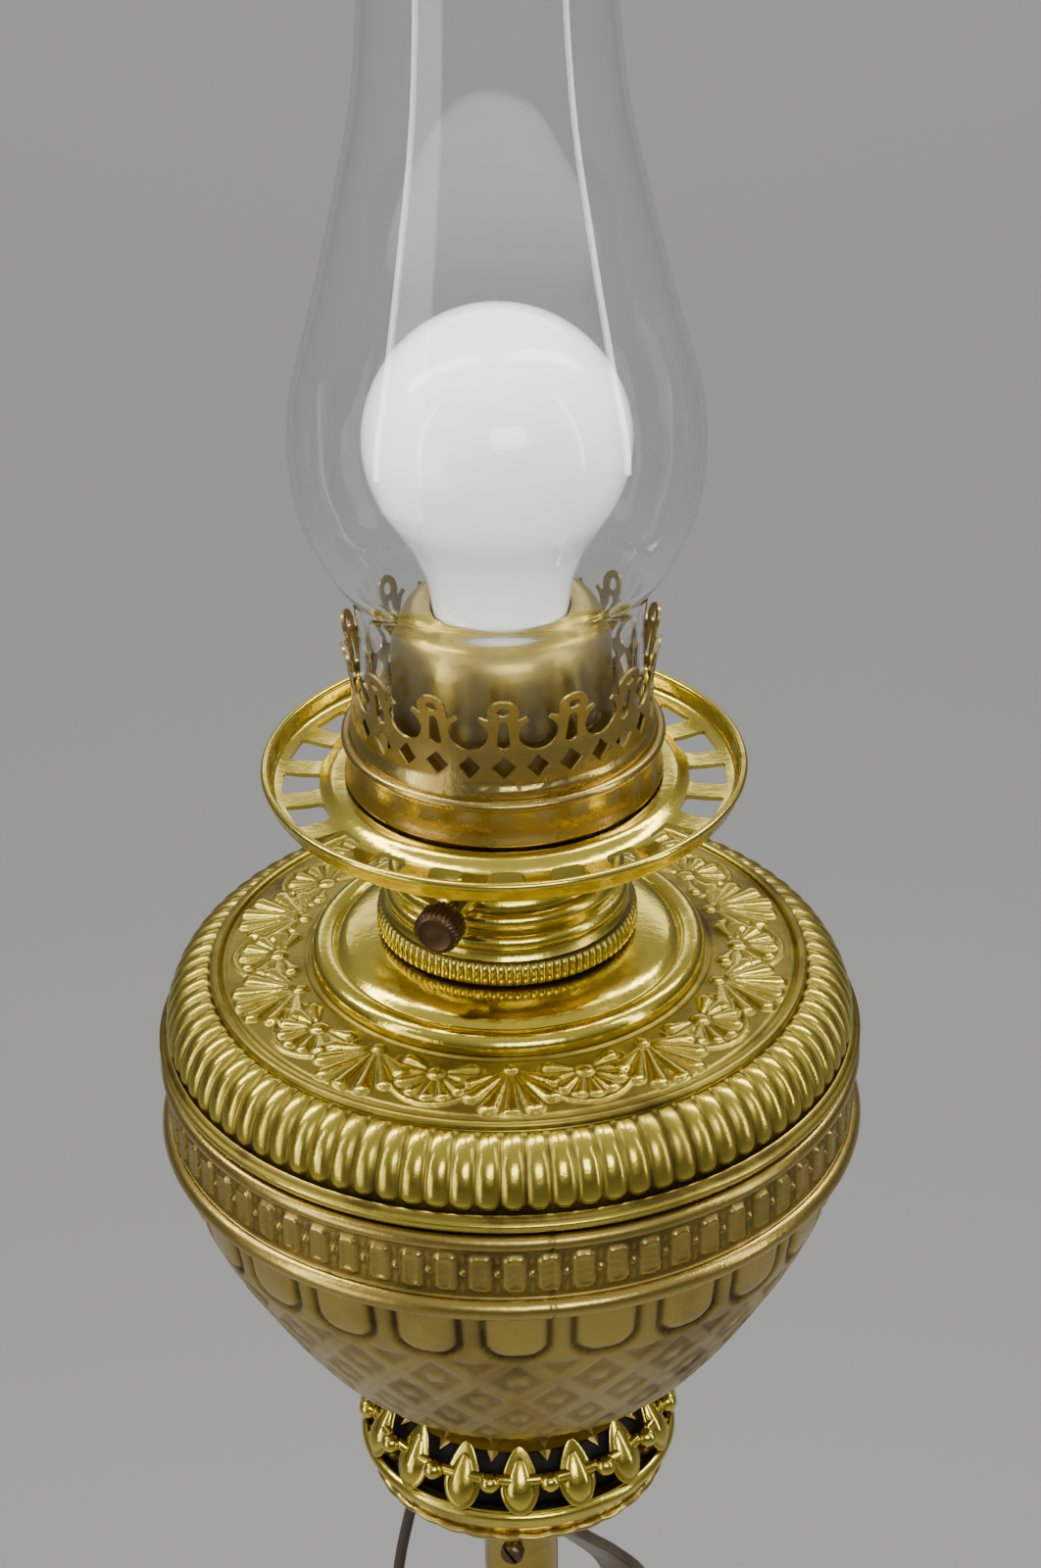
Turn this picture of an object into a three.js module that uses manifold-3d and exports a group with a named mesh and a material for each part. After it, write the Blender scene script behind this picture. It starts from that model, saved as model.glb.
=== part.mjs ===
// Brass floor lamp of the piano-lamp kind: an oil lamp wired for an electric bulb.
// A four-legged strap-work stand carries a drop-in font in a stamped urn. The font carries a
// burner with a shade ring, a pierced gallery, a glass chimney and a bulb.
// Millimetres, +Z up, origin on the floor under the post. Heights are measured from the floor.
import * as THREE from "three";
import { mergeVertices } from "three/addons/utils/BufferGeometryUtils.js";
import Module from "manifold-3d";

const wasm = await Module();
wasm.setup();

// Driving dimensions.
const BULB_CENTRE_Z = 1300; // height of the bulb's centre, which places everything above the post
const GAP = 0.3; // clearance between pieces that touch
const SHEET = 1.2; // wall of spun and stamped brass
const GALLERY_BAYS = 14;
const KNOP_BAYS = 16; // also the points of the leaf washer
const RING_SLOTS = 20;
const LEG_COUNT = 4;
const LEG_REACH = 182; // radius of a foot's centre
const LEG_AZIMUTH = 55; // of the first leg, degrees from +X
const HANDLE_AZIMUTH = 60;
const KEY_AZIMUTH = -111.6;
const SCREW_AZIMUTH = -103;
const CORD_AZIMUTH = 150;

const BULB_R = 30.15; // A19 envelope
const BULB_NECK_R = 15.4;
const LIP_R = BULB_NECK_R + 1.3; // opening of the sleeve round the neck
const BULB_GLASS = 0.9;
const CAP_R = 13.2; // E26 screw cap
const CHIMNEY_FITTER_R = 32.6; // 2 5/8 inch chimney
const CHIMNEY_GLASS = 1.6;
const CHIMNEY_HEIGHT = 254; // 10 inch chimney
const GALLERY_R = CHIMNEY_FITTER_R + 1.2; // inside of the coronet
const RING_R = 56; // 4 inch shade ring, over its rolled rim
const BURNER_R = 25.5;
const SLEEVE_R = BURNER_R - 0.8; // stands on the burner's top edge, round the bulb's neck
const COLLAR_R = 30.5;
const COVER_R = 46.7;
const FONT_R = 82.3;
const URN_R = 80.6;
const KNOP_R = 39;
const STEM_R = 9.5;
const POST_R = 7;
const POST_WALL = 1.5;
const ROD_R = 4.5;
const CORD_D = 3;
const HUB_R = 17;

// Heights, each tied to the one it rests on or in.
const CHIMNEY_FOOT_Z = BULB_CENTRE_Z - 74;
const CHIMNEY_TOP_Z = CHIMNEY_FOOT_Z + CHIMNEY_HEIGHT;
const GALLERY_FLOOR_Z = CHIMNEY_FOOT_Z - GAP;
const RING_SEAT_Z = GALLERY_FLOOR_Z - 9;
const COLLAR_TOP_Z = BULB_CENTRE_Z - 108;
const COVER_Z = BULB_CENTRE_Z - 125; // underside of the collar
const FLAT_Z = BULB_CENTRE_Z - 134; // the font's flat decorated top
const FONT_RIM_Z = BULB_CENTRE_Z - 155.6; // underside of the font's rolled rim
const URN_TOP_Z = FONT_RIM_Z - GAP;
const BAND_HEIGHT = 24;
const URN_FOOT_Z = URN_TOP_Z - 98;
const LEAF_Z = URN_FOOT_Z - GAP;
const KNOP_TOP_Z = LEAF_Z - 1.5 - GAP;
const KNOP_FOOT_Z = KNOP_TOP_Z - 25;
const PLATE_Z = KNOP_FOOT_Z - GAP;
const STEM_TOP_Z = PLATE_Z - 19;
const STEM_FOOT_Z = STEM_TOP_Z - 30;
const SOCKET_DEPTH = 24;
const POST_TOP_Z = STEM_FOOT_Z + SOCKET_DEPTH;
const HUB_TOP_Z = 318;
const HUB_FOOT_Z = 176;
const POST_FOOT_Z = HUB_TOP_Z - 40;
const FOOT_HEIGHT = 9;

const radians = THREE.MathUtils.degToRad;

// Materials.
const metal = (color, roughness) =>
  new THREE.MeshStandardMaterial({ color, roughness, metalness: 1 });
const MATERIALS = {
  brass: metal(0xb59438, 0.28),
  aged: metal(0x8a7136, 0.4),
  dark: metal(0x4a3b26, 0.5),
  iron: metal(0x3a3632, 0.7),
  glass: new THREE.MeshStandardMaterial({ color: 0xdff3ee, roughness: 0.05, transparent: true, opacity: 0.3 }),
  bulb: new THREE.MeshStandardMaterial({ color: 0xf4f4f2, roughness: 0.2 }),
  porcelain: new THREE.MeshStandardMaterial({ color: 0xe6e2d8, roughness: 0.3 }),
  cord: new THREE.MeshStandardMaterial({ color: 0x3a2c1c, roughness: 0.6 }),
};

const lamp = new THREE.Group();

// --- Geometry helpers ---

// Signed volume of an indexed geometry, negative if its faces point inwards.
function signedVolume(geometry) {
  const position = geometry.getAttribute("position");
  const index = geometry.index.array;
  const [a, b, c] = [new THREE.Vector3(), new THREE.Vector3(), new THREE.Vector3()];
  let total = 0;
  for (let i = 0; i < index.length; i += 3) {
    a.fromBufferAttribute(position, index[i]);
    b.fromBufferAttribute(position, index[i + 1]);
    c.fromBufferAttribute(position, index[i + 2]);
    total += a.dot(b.cross(c)) / 6;
  }
  return total;
}

// The same shape with shared vertices, and with faces that point outwards.
function welded(geometry) {
  const bare = new THREE.BufferGeometry();
  const source = geometry.index ? geometry.toNonIndexed() : geometry;
  bare.setAttribute("position", source.getAttribute("position"));
  const merged = mergeVertices(bare, 1e-3);
  const index = merged.index.array;
  const kept = [];
  for (let i = 0; i < index.length; i += 3) {
    const [p, q, r] = [index[i], index[i + 1], index[i + 2]];
    if (p !== q && q !== r && p !== r) kept.push(p, q, r);
  }
  merged.setIndex(kept);
  if (signedVolume(merged) < 0) {
    for (let i = 0; i < kept.length; i += 3) [kept[i + 1], kept[i + 2]] = [kept[i + 2], kept[i + 1]];
    merged.setIndex(kept);
  }
  return merged;
}

function toSolid(geometry) {
  const g = welded(geometry);
  return new wasm.Manifold(
    new wasm.Mesh({
      numProp: 3,
      vertProperties: new Float32Array(g.getAttribute("position").array),
      triVerts: new Uint32Array(g.index.array),
    }),
  );
}

function toGeometry(solid) {
  const mesh = solid.getMesh();
  const g = new THREE.BufferGeometry();
  g.setAttribute("position", new THREE.BufferAttribute(new Float32Array(mesh.vertProperties), 3));
  g.setIndex(new THREE.BufferAttribute(new Uint32Array(mesh.triVerts), 1));
  return g;
}

function cut(geometry, ...tools) {
  return toGeometry(tools.reduce((left, tool) => left.subtract(toSolid(tool)), toSolid(geometry)));
}

function join(...geometries) {
  return toGeometry(geometries.map(toSolid).reduce((whole, piece) => whole.add(piece)));
}

// A solid of revolution about Z from [radius, height] points, which touch the axis at both ends or
// are closed into a loop here.
function turned(points, segments = 20) {
  const onAxis = points[0][0] === 0 && points.at(-1)[0] === 0;
  const loop = onAxis ? points : [...points, points[0]];
  const profile = loop.map(([r, z]) => new THREE.Vector2(r, z));
  return welded(new THREE.LatheGeometry(profile, segments).rotateX(Math.PI / 2));
}

// A spun sheet: the outer [radius, height] points, and the same curve set in by the wall.
function spun(outer, wall = SHEET, segments = 24) {
  const inner = outer.map(([r, z], i) => {
    const before = outer[Math.max(i - 1, 0)];
    const after = outer[Math.min(i + 1, outer.length - 1)];
    const along = new THREE.Vector2(after[0] - before[0], after[1] - before[1]).normalize();
    return [r + along.y * wall, z - along.x * wall];
  });
  return turned([...outer, ...inner.reverse()], segments);
}

// A plain tube or disc with a hole about Z.
function tube(rOut, rIn, z0, z1, segments = 20) {
  return turned([[rOut, z0], [rOut, z1], [rIn, z1], [rIn, z0]], segments);
}

function rod(r, z0, z1, segments = 12) {
  return turned([[0, z0], [r, z0], [r, z1], [0, z1]], segments);
}

// Turns a geometry that was built about +X to an azimuth about Z.
const around = (geometry, azimuth) => geometry.rotateZ(radians(azimuth));

// A strap of rectangular section whose centre line lies in the XZ plane, as a closed outline.
function strap(points, width, thickness, steps) {
  const curve = new THREE.CatmullRomCurve3(points.map(([r, z]) => new THREE.Vector3(r, z, 0)), false, "centripetal");
  const [left, right] = [[], []];
  for (let i = 0; i <= steps; i += 1) {
    const p = curve.getPoint(i / steps);
    const t = curve.getTangent(i / steps);
    left.push(new THREE.Vector2(p.x - (t.y * thickness) / 2, p.y + (t.x * thickness) / 2));
    right.push(new THREE.Vector2(p.x + (t.y * thickness) / 2, p.y - (t.x * thickness) / 2));
  }
  const outline = new THREE.Shape([...left, ...right.reverse()]);
  const body = new THREE.ExtrudeGeometry(outline, { depth: width, bevelEnabled: false });
  return welded(body.translate(0, 0, -width / 2).rotateX(Math.PI / 2));
}

// A pin along +X from x0 to x1 at height z.
const pin = (r, x0, x1, z, segments = 8) =>
  rod(r, x0, x1, segments).rotateY(Math.PI / 2).translate(0, 0, z);

function add(name, geometry, material) {
  const mesh = new THREE.Mesh(geometry, MATERIALS[material]);
  mesh.name = name;
  lamp.add(mesh);
  return mesh;
}

// --- Stand ---

const LEG_WIDTH = 18;
const LEG_THICKNESS = 5;
const LEG_TOP_Z = HUB_TOP_Z - 14;
const LEG_ROOT_R = HUB_R + LEG_THICKNESS / 2 + 2 * GAP;
// Centre line of a leg, from its riveted head on the hub down to the curl over its foot.
const LEG_LINE = [
  [LEG_ROOT_R, LEG_TOP_Z],
  [LEG_ROOT_R, LEG_TOP_Z - 12],
  [LEG_ROOT_R + 1, LEG_TOP_Z - 26],
  [LEG_ROOT_R + 16, LEG_TOP_Z - 62],
  [LEG_ROOT_R + 52, LEG_TOP_Z - 84],
  [LEG_ROOT_R + 88, LEG_TOP_Z - 118],
  [LEG_ROOT_R + 106, LEG_TOP_Z - 176],
  [LEG_REACH - 38, FOOT_HEIGHT + 44],
  [LEG_REACH - 16, FOOT_HEIGHT + 10],
  [LEG_REACH, FOOT_HEIGHT + GAP + LEG_THICKNESS / 2],
  [LEG_REACH + 16, FOOT_HEIGHT + 8],
  [LEG_REACH + 21, FOOT_HEIGHT + 23],
  [LEG_REACH + 11, FOOT_HEIGHT + 32],
  [LEG_REACH + 2, FOOT_HEIGHT + 24],
];

function makeLegs() {
  for (let i = 0; i < LEG_COUNT; i += 1) {
    const azimuth = LEG_AZIMUTH + (i * 360) / LEG_COUNT;
    const rivetZ = LEG_TOP_Z - 12;
    const rivetHole = pin(2.5 + GAP, HUB_R - 4, HUB_R + 12, rivetZ);
    const leg = cut(strap(LEG_LINE, LEG_WIDTH, LEG_THICKNESS, 22), rivetHole);
    add(`leg_${i + 1}`, around(leg, azimuth), "aged");
    const headR = LEG_ROOT_R + LEG_THICKNESS / 2 + GAP;
    const head = turned([[0, headR], [5.2, headR], [3.6, headR + 2.6], [0, headR + 3.4]], 10);
    const shank = rod(2.5, HUB_R - 2, headR + 1, 8);
    const rivet = join(head, shank).rotateY(Math.PI / 2).translate(0, 0, rivetZ);
    add(`leg_rivet_${i + 1}`, around(rivet, azimuth), "brass");
    const footProfile = [[0, 0], [12, 0], [13.5, 4], [10.5, FOOT_HEIGHT], [0, FOOT_HEIGHT]];
    const foot = turned(footProfile, 16).translate(LEG_REACH, 0, 0);
    add(`foot_${i + 1}`, around(foot, azimuth), "aged");
  }
}

function makeHub() {
  const sleeveR = POST_R + GAP;
  const hubProfile = [
    [sleeveR, HUB_TOP_Z],
    [HUB_R - 4, HUB_TOP_Z],
    [HUB_R, HUB_TOP_Z - 4],
    [HUB_R, LEG_TOP_Z - 32],
    [HUB_R - 4, LEG_TOP_Z - 48],
    [HUB_R + 7, LEG_TOP_Z - 94],
    [HUB_R - 6, HUB_FOOT_Z],
    [ROD_R + GAP, HUB_FOOT_Z],
    [ROD_R + GAP, POST_FOOT_Z - GAP],
    [sleeveR, POST_FOOT_Z - GAP],
  ];
  const holes = [];
  for (let i = 0; i < LEG_COUNT; i += 1) {
    const azimuth = LEG_AZIMUTH + (i * 360) / LEG_COUNT;
    holes.push(around(pin(2.5 + GAP, HUB_R - 2.5, HUB_R + 12, LEG_TOP_Z - 12), azimuth));
  }
  add("base_hub", cut(turned(hubProfile, 20), ...holes), "aged");
  const finialTop = HUB_FOOT_Z - GAP;
  const finial = [
    [0, finialTop],
    [9, finialTop],
    [12, finialTop - 4],
    [7, finialTop - 9],
    [12.5, finialTop - 20],
    [5, finialTop - 36],
    [0, finialTop - 42],
  ];
  add("base_finial", turned(finial, 16), "brass");
}

function makePost() {
  add("post_tube", tube(POST_R, POST_R - POST_WALL, POST_FOOT_Z, POST_TOP_Z), "aged");
  // Turned knuckles that slide on the post.
  const knuckle = (z, r, h) =>
    turned(
      [
        [POST_R + GAP, z],
        [r * 0.76, z],
        [r * 0.62, z + h * 0.2],
        [r, z + h * 0.4],
        [r, z + h * 0.6],
        [r * 0.62, z + h * 0.8],
        [r * 0.76, z + h],
        [POST_R + GAP, z + h],
      ],
      20,
    );
  add("lower_knuckle", knuckle(HUB_TOP_Z + GAP, 17, 34), "brass");
  add("middle_knuckle", knuckle((HUB_TOP_Z + STEM_FOOT_Z) / 2, 18, 42), "brass");
}

const HANDLE_THICKNESS = 3.2;
const HANDLE_WIDTH = 15;
const HANDLE_TOP_Z = STEM_TOP_Z - 9; // its upper rivet
const HANDLE_FOOT_Z = HANDLE_TOP_Z - 190; // its lower rivet
const BAND_R = STEM_R; // outside of the band that holds the handle's foot
const BAND_HALF = 6;

// A strap handle from the stem head out to the back and in again to a band on the post.
function makeHandle() {
  const rootR = STEM_R + GAP + HANDLE_THICKNESS / 2;
  const line = [
    [rootR, HANDLE_TOP_Z + 6],
    [rootR, HANDLE_TOP_Z],
    [rootR + 1.4, HANDLE_TOP_Z - 6],
    [rootR + 11, HANDLE_TOP_Z - 18],
    [rootR + 29, HANDLE_TOP_Z - 38],
    [rootR + 46, HANDLE_TOP_Z - 61],
    [rootR + 54, HANDLE_TOP_Z - 92],
    [rootR + 48, HANDLE_TOP_Z - 128],
    [rootR + 28, HANDLE_FOOT_Z + 32],
    [rootR + 8, HANDLE_FOOT_Z + 16],
    [rootR + 1, HANDLE_FOOT_Z + 6],
    [rootR, HANDLE_FOOT_Z],
    [rootR, HANDLE_FOOT_Z - 5],
  ];
  const hole = (z) => pin(1.6 + GAP, POST_R, rootR + 6, z);
  const body = cut(strap(line, HANDLE_WIDTH, HANDLE_THICKNESS, 34), hole(HANDLE_TOP_Z), hole(HANDLE_FOOT_Z));
  add("handle_strap", around(body, HANDLE_AZIMUTH), "dark");
  for (const [where, z] of [["upper", HANDLE_TOP_Z], ["lower", HANDLE_FOOT_Z]]) {
    const rivet = join(pin(1.6, POST_R + 2 * GAP, rootR + 4, z), pin(3, rootR + 2.1, rootR + 4, z));
    add(`handle_rivet_${where}`, around(rivet, HANDLE_AZIMUTH), "brass");
  }
  const band = tube(BAND_R, POST_R + GAP, HANDLE_FOOT_Z - BAND_HALF, HANDLE_FOOT_Z + BAND_HALF);
  add("handle_band", cut(band, around(hole(HANDLE_FOOT_Z), HANDLE_AZIMUTH)), "brass");
}

function makeStemHead() {
  const profile = [
    [POST_R + GAP, STEM_FOOT_Z],
    [STEM_R, STEM_FOOT_Z],
    [STEM_R, STEM_TOP_Z - 2.6],
    [STEM_R + 1.8, STEM_TOP_Z - 1.4],
    [STEM_R + 1.8, STEM_TOP_Z],
    [ROD_R + GAP, STEM_TOP_Z],
    [ROD_R + GAP, POST_TOP_Z + GAP],
    [POST_R + GAP, POST_TOP_Z + GAP],
  ];
  const screwZ = STEM_TOP_Z - 10;
  const hole = around(pin(2 + GAP, POST_R - 1, STEM_R + 5, screwZ), SCREW_AZIMUTH);
  const rivetHole = around(pin(1.6 + GAP, POST_R - 1, STEM_R + 5, HANDLE_TOP_Z), HANDLE_AZIMUTH);
  add("stem_head", cut(turned(profile, 20), hole, rivetHole), "aged");
  const screw = join(
    pin(2, POST_R + GAP, STEM_R + 1.5, screwZ),
    pin(3.3, STEM_R + GAP, STEM_R + 2.6, screwZ, 12),
  );
  add("set_screw", around(screw, SCREW_AZIMUTH), "dark");
}

// --- Knop and urn ---

function makeKnop() {
  const dome = [
    [KNOP_R - 18, KNOP_TOP_Z],
    [KNOP_R - 10, KNOP_FOOT_Z + 20],
    [KNOP_R - 2, KNOP_FOOT_Z + 13],
    [KNOP_R, KNOP_FOOT_Z + 3],
    [KNOP_R, KNOP_FOOT_Z],
  ];
  const shell = spun(dome, 2, KNOP_BAYS * 2);
  const windows = [];
  for (let i = 0; i < KNOP_BAYS; i += 1) {
    const opening = new THREE.BoxGeometry(20, 6.2, 8.5).translate(KNOP_R, 0, KNOP_FOOT_Z + 7.5);
    windows.push(around(opening, ((i + 0.5) * 360) / KNOP_BAYS - 90));
  }
  add("openwork_knop", cut(shell, ...windows), "brass");
  const bushingR = 30;
  const plate = [
    [KNOP_R + 0.5, PLATE_Z],
    [KNOP_R + 0.5, PLATE_Z - 2.2],
    [22, PLATE_Z - 3.4],
    [11, STEM_TOP_Z + GAP],
    [ROD_R + GAP, STEM_TOP_Z + GAP],
    [ROD_R + GAP, PLATE_Z],
  ];
  const bushingHole = rod(3.6 + GAP, PLATE_Z - 12, PLATE_Z + 5).translate(bushingR, 0, 0);
  add("knop_base", cut(turned(plate, 32), around(bushingHole, CORD_AZIMUTH)), "aged");
  const bushing = turned(
    [
      [CORD_D / 2 + GAP, PLATE_Z + 2],
      [3.6, PLATE_Z + 2],
      [3.6, PLATE_Z - 3.4],
      [5.4, PLATE_Z - 3.4],
      [5.4, PLATE_Z - 5.4],
      [CORD_D / 2 + GAP, PLATE_Z - 5.4],
    ],
    12,
  ).translate(bushingR, 0, 0);
  add("cord_bushing", around(bushing, CORD_AZIMUTH), "cord");
}

function makeLeafWasher() {
  const [rIn, rOut] = [24, 30.5];
  const outline = new THREE.Shape();
  for (let i = 0; i < KNOP_BAYS * 2; i += 1) {
    const a = radians((i * 180) / KNOP_BAYS - 90);
    const r = i % 2 ? rOut : rIn;
    if (i === 0) outline.moveTo(r * Math.cos(a), r * Math.sin(a));
    else outline.lineTo(r * Math.cos(a), r * Math.sin(a));
  }
  outline.holes.push(new THREE.Path().absarc(0, 0, ROD_R + GAP, 0, Math.PI * 2, true));
  const washer = new THREE.ExtrudeGeometry(outline, { depth: 1.5, bevelEnabled: false, curveSegments: 10 });
  add("leaf_washer", washer.translate(0, 0, LEAF_Z - 1.5), "aged");
}

function makeUrn() {
  const foot = URN_FOOT_Z;
  const profile = [
    [URN_R, URN_TOP_Z],
    [URN_R, URN_TOP_Z - BAND_HEIGHT],
    [URN_R - 3.6, foot + 61],
    [URN_R - 11, foot + 47],
    [URN_R - 21, foot + 29],
    [URN_R - 36, foot + 10],
    [26, foot],
    [ROD_R + GAP, foot],
  ];
  add("urn_bowl", spun(profile), "aged");
  const r = URN_R + GAP;
  const top = URN_TOP_Z;
  const low = URN_TOP_Z - BAND_HEIGHT;
  const band = [
    [r, low],
    [r + 2.6, low + 1],
    [r + 2.6, low + 3.6],
    [r + 0.9, low + 4.6],
    [r + 0.9, top - 4.4],
    [r + 2.4, top - 3],
    [r, top],
  ];
  add("urn_band", turned(band, 24), "aged");
}

function makeThroughRod() {
  const nutZ = URN_FOOT_Z + SHEET + GAP;
  const thread = rod(ROD_R, POST_TOP_Z + 2, nutZ + 12);
  add("through_rod", thread, "iron");
  const bore = rod(ROD_R + GAP, nutZ - 1, nutZ + 7);
  add("urn_nut", cut(rod(9, nutZ, nutZ + 6, 6), bore), "iron");
}

// --- Font ---

function makeFont() {
  const outer = [
    [22, FLAT_Z],
    [FONT_R - 13, FLAT_Z],
    [FONT_R - 7.5, FLAT_Z - 3.2],
    [FONT_R - 2.4, FLAT_Z - 9],
    [FONT_R, FONT_RIM_Z + 3.4],
    [FONT_R, FONT_RIM_Z],
    [URN_R - SHEET - 1.6, FONT_RIM_Z],
    [URN_R - SHEET - 3, FONT_RIM_Z - 26],
    [60, FONT_RIM_Z - 48],
    [12, FONT_RIM_Z - 72],
  ];
  add("font_shell", spun(outer), "brass");
  const low = FLAT_Z + GAP;
  const cover = [
    [COLLAR_R - 6.5, low],
    [COVER_R, low],
    [COVER_R, low + 1.4],
    [COVER_R - 2.4, low + 3.6],
    [COVER_R - 8, low + 5.2],
    [COVER_R - 10.5, COVER_Z - GAP],
    [COLLAR_R - 6.5, COVER_Z - GAP],
  ];
  add("font_cover", turned(cover, 24), "brass");
}

function makeCollar() {
  const collar = [
    [BURNER_R - 4, COVER_Z],
    [COLLAR_R, COVER_Z],
    [COLLAR_R, COVER_Z + 4.6],
    [COLLAR_R - 2.4, COVER_Z + 7],
    [COLLAR_R - 2.4, COLLAR_TOP_Z - 2],
    [BURNER_R + GAP, COLLAR_TOP_Z],
    [BURNER_R + GAP, COLLAR_TOP_Z - 6],
    [BURNER_R - 4, COLLAR_TOP_Z - 6],
  ];
  add("font_collar", turned(collar, 24), "brass");
  const foot = COLLAR_TOP_Z - 6 + GAP;
  const body = [
    [BURNER_R - 2, foot],
    [BURNER_R, foot],
    [BURNER_R, RING_SEAT_Z - 4],
    [BURNER_R - 2, RING_SEAT_Z - 4],
  ];
  const keyHole = around(pin(1.8 + GAP, 18, 32, KEY_Z), KEY_AZIMUTH);
  add("burner_body", cut(turned(body, 24), keyHole), "brass");
}

function makeShadeRing() {
  const seat = RING_SEAT_Z;
  const outer = [
    [BURNER_R + GAP, seat - 5],
    [BURNER_R + GAP, seat - 3],
    [34, seat - 2],
    [43, seat - 5.4],
    [53.6, seat - 5.8],
    [54.4, seat - 0.2],
    [RING_R, seat - 0.2],
    [RING_R - 0.6, seat - 7.2],
    [43, seat - 7.2],
  ];
  const slots = [];
  for (let i = 0; i < RING_SLOTS; i += 1) {
    const slot = new THREE.BoxGeometry(7, 8, 10).translate(48.8, 0, seat - 7);
    slots.push(around(slot, (i * 360) / RING_SLOTS - 90));
  }
  add("shade_ring", cut(turned(outer, RING_SLOTS * 2), ...slots), "brass");
}

function makeGallery() {
  const floor = GALLERY_FLOOR_Z;
  const seat = RING_SEAT_Z + GAP;
  const base = [
    [26.4, floor - 1.4],
    [26.4, floor],
    [GALLERY_R + 1.2, floor],
    [GALLERY_R + 1.6, floor + 1.8],
    [GALLERY_R + 3.6, floor + 1.2],
    [GALLERY_R + 3.2, floor - 1.6],
    [GALLERY_R + 2.4, seat],
    [GALLERY_R + 1.2, seat],
    [GALLERY_R + 1.2, floor - 1.4],
  ];
  add("gallery_base", turned(base, 24), "brass");
  const foot = floor + GAP;
  const strip = [
    [GALLERY_R + 0.8, foot],
    [GALLERY_R + 0.8, foot + 20],
    [GALLERY_R + 2.6, foot + 28],
    [GALLERY_R + 1.8, foot + 28],
    [GALLERY_R, foot + 20],
    [GALLERY_R, foot],
  ];
  const tools = [];
  for (let i = 0; i < GALLERY_BAYS; i += 1) {
    const bay = ((i + 0.5) * 360) / GALLERY_BAYS - 90;
    tools.push(around(pin(4, 28, 44, foot + 12), bay));
    const notch = new THREE.BoxGeometry(16, 7.4, 16).translate(36, 0, foot + 27);
    tools.push(around(notch, bay));
  }
  add("gallery_coronet", cut(turned(strip, GALLERY_BAYS * 2), ...tools), "brass");
}

// --- Electric fittings ---

const KEY_Z = BULB_CENTRE_Z - 102.5;
const CAP_FOOT_Z = BULB_CENTRE_Z - 78;
const CAP_TOP_Z = BULB_CENTRE_Z - 50;

function makeSocket() {
  const floor = RING_SEAT_Z - 4 + GAP; // the sleeve stands on the burner's top edge
  const cup = [
    [SLEEVE_R, floor],
    [SLEEVE_R, BULB_CENTRE_Z - 51],
    [SLEEVE_R - 2.2, BULB_CENTRE_Z - 44],
    [LIP_R + 0.4, BULB_CENTRE_Z - 40.6],
    [LIP_R, BULB_CENTRE_Z - 41.6],
    [SLEEVE_R - 3.2, BULB_CENTRE_Z - 45],
    [SLEEVE_R - SHEET, BULB_CENTRE_Z - 51.4],
    [SLEEVE_R - SHEET, floor],
  ];
  add("socket_cup", turned(cup, 24), "aged");
  const shellFoot = CAP_FOOT_Z - 14;
  const shell = [
    [6, shellFoot],
    [17, shellFoot],
    [18.4, shellFoot + 4],
    [18.4, CAP_TOP_Z - 4],
    [17.4, CAP_TOP_Z - 4],
    [17.4, shellFoot + 4.6],
    [16.4, shellFoot + 1.2],
    [6, shellFoot + 1.2],
  ];
  add("socket_shell", turned(shell, 16), "brass");
  const insulator = [
    [0, shellFoot + 1.8],
    [15.6, shellFoot + 1.8],
    [16.8, shellFoot + 5],
    [16.8, CAP_TOP_Z - 5],
    [CAP_R + 1.6, CAP_TOP_Z - 5],
    [CAP_R + 1.6, CAP_FOOT_Z - 3],
    [0, CAP_FOOT_Z - 3],
  ];
  add("socket_insulator", turned(insulator, 16), "porcelain");
  const liner = tube(CAP_R + 1.3, CAP_R + 0.5, CAP_FOOT_Z - 2.4, CAP_TOP_Z - 6, 16);
  add("socket_screw_liner", liner, "brass");
  const stalk = tube(5.6, 4, FONT_RIM_Z - 60, shellFoot - GAP, 12);
  add("socket_pipe", stalk, "brass");
}

function makeBulb() {
  const c = BULB_CENTRE_Z;
  const glass = [[0, c + BULB_R]];
  const envelope = (r) => {
    const points = [];
    for (let a = 66; a >= -48; a -= 28.5) {
      points.push([r * Math.cos(radians(a)), c + r * Math.sin(radians(a))]);
    }
    return points;
  };
  const neck = (set) => [
    [BULB_NECK_R + 1.2 - set, c - 34],
    [BULB_NECK_R - set, c - 42],
    [CAP_R - 1.2 - set, c - 50],
    [CAP_R - 1.2 - set, c - 58],
  ];
  const outside = [[0, c + BULB_R], ...envelope(BULB_R), ...neck(0)];
  const inside = [[0, c + BULB_R - BULB_GLASS], ...envelope(BULB_R - BULB_GLASS), ...neck(BULB_GLASS)];
  add("bulb_glass", turned([...outside, ...inside.reverse()], 20), "bulb");
  const cap = [
    [0, CAP_FOOT_Z],
    [5, CAP_FOOT_Z],
    [9, CAP_FOOT_Z + 4],
    [CAP_R - 0.6, CAP_FOOT_Z + 6],
    [CAP_R, CAP_FOOT_Z + 9],
    [CAP_R, CAP_TOP_Z - GAP],
    [CAP_R - 0.7, CAP_TOP_Z - GAP],
    [CAP_R - 0.7, CAP_FOOT_Z + 9],
    [8.6, CAP_FOOT_Z + 5],
    [0, CAP_FOOT_Z + 4],
  ];
  add("bulb_cap", turned(cap, 16), "brass");
}

function makeKey() {
  const knobFoot = BURNER_R + 12;
  const shaft = pin(1.6, 19.5, knobFoot + 1, KEY_Z);
  const profile = [
    [0, knobFoot],
    [4.6, knobFoot],
    [5.4, knobFoot + 0.8],
    [5.4, knobFoot + 6.2],
    [4.6, knobFoot + 7],
    [0, knobFoot + 7.4],
  ];
  const knob = turned(profile, 20).rotateY(Math.PI / 2).translate(0, 0, KEY_Z);
  add("key", around(join(shaft, knob), KEY_AZIMUTH), "dark");
}

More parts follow.
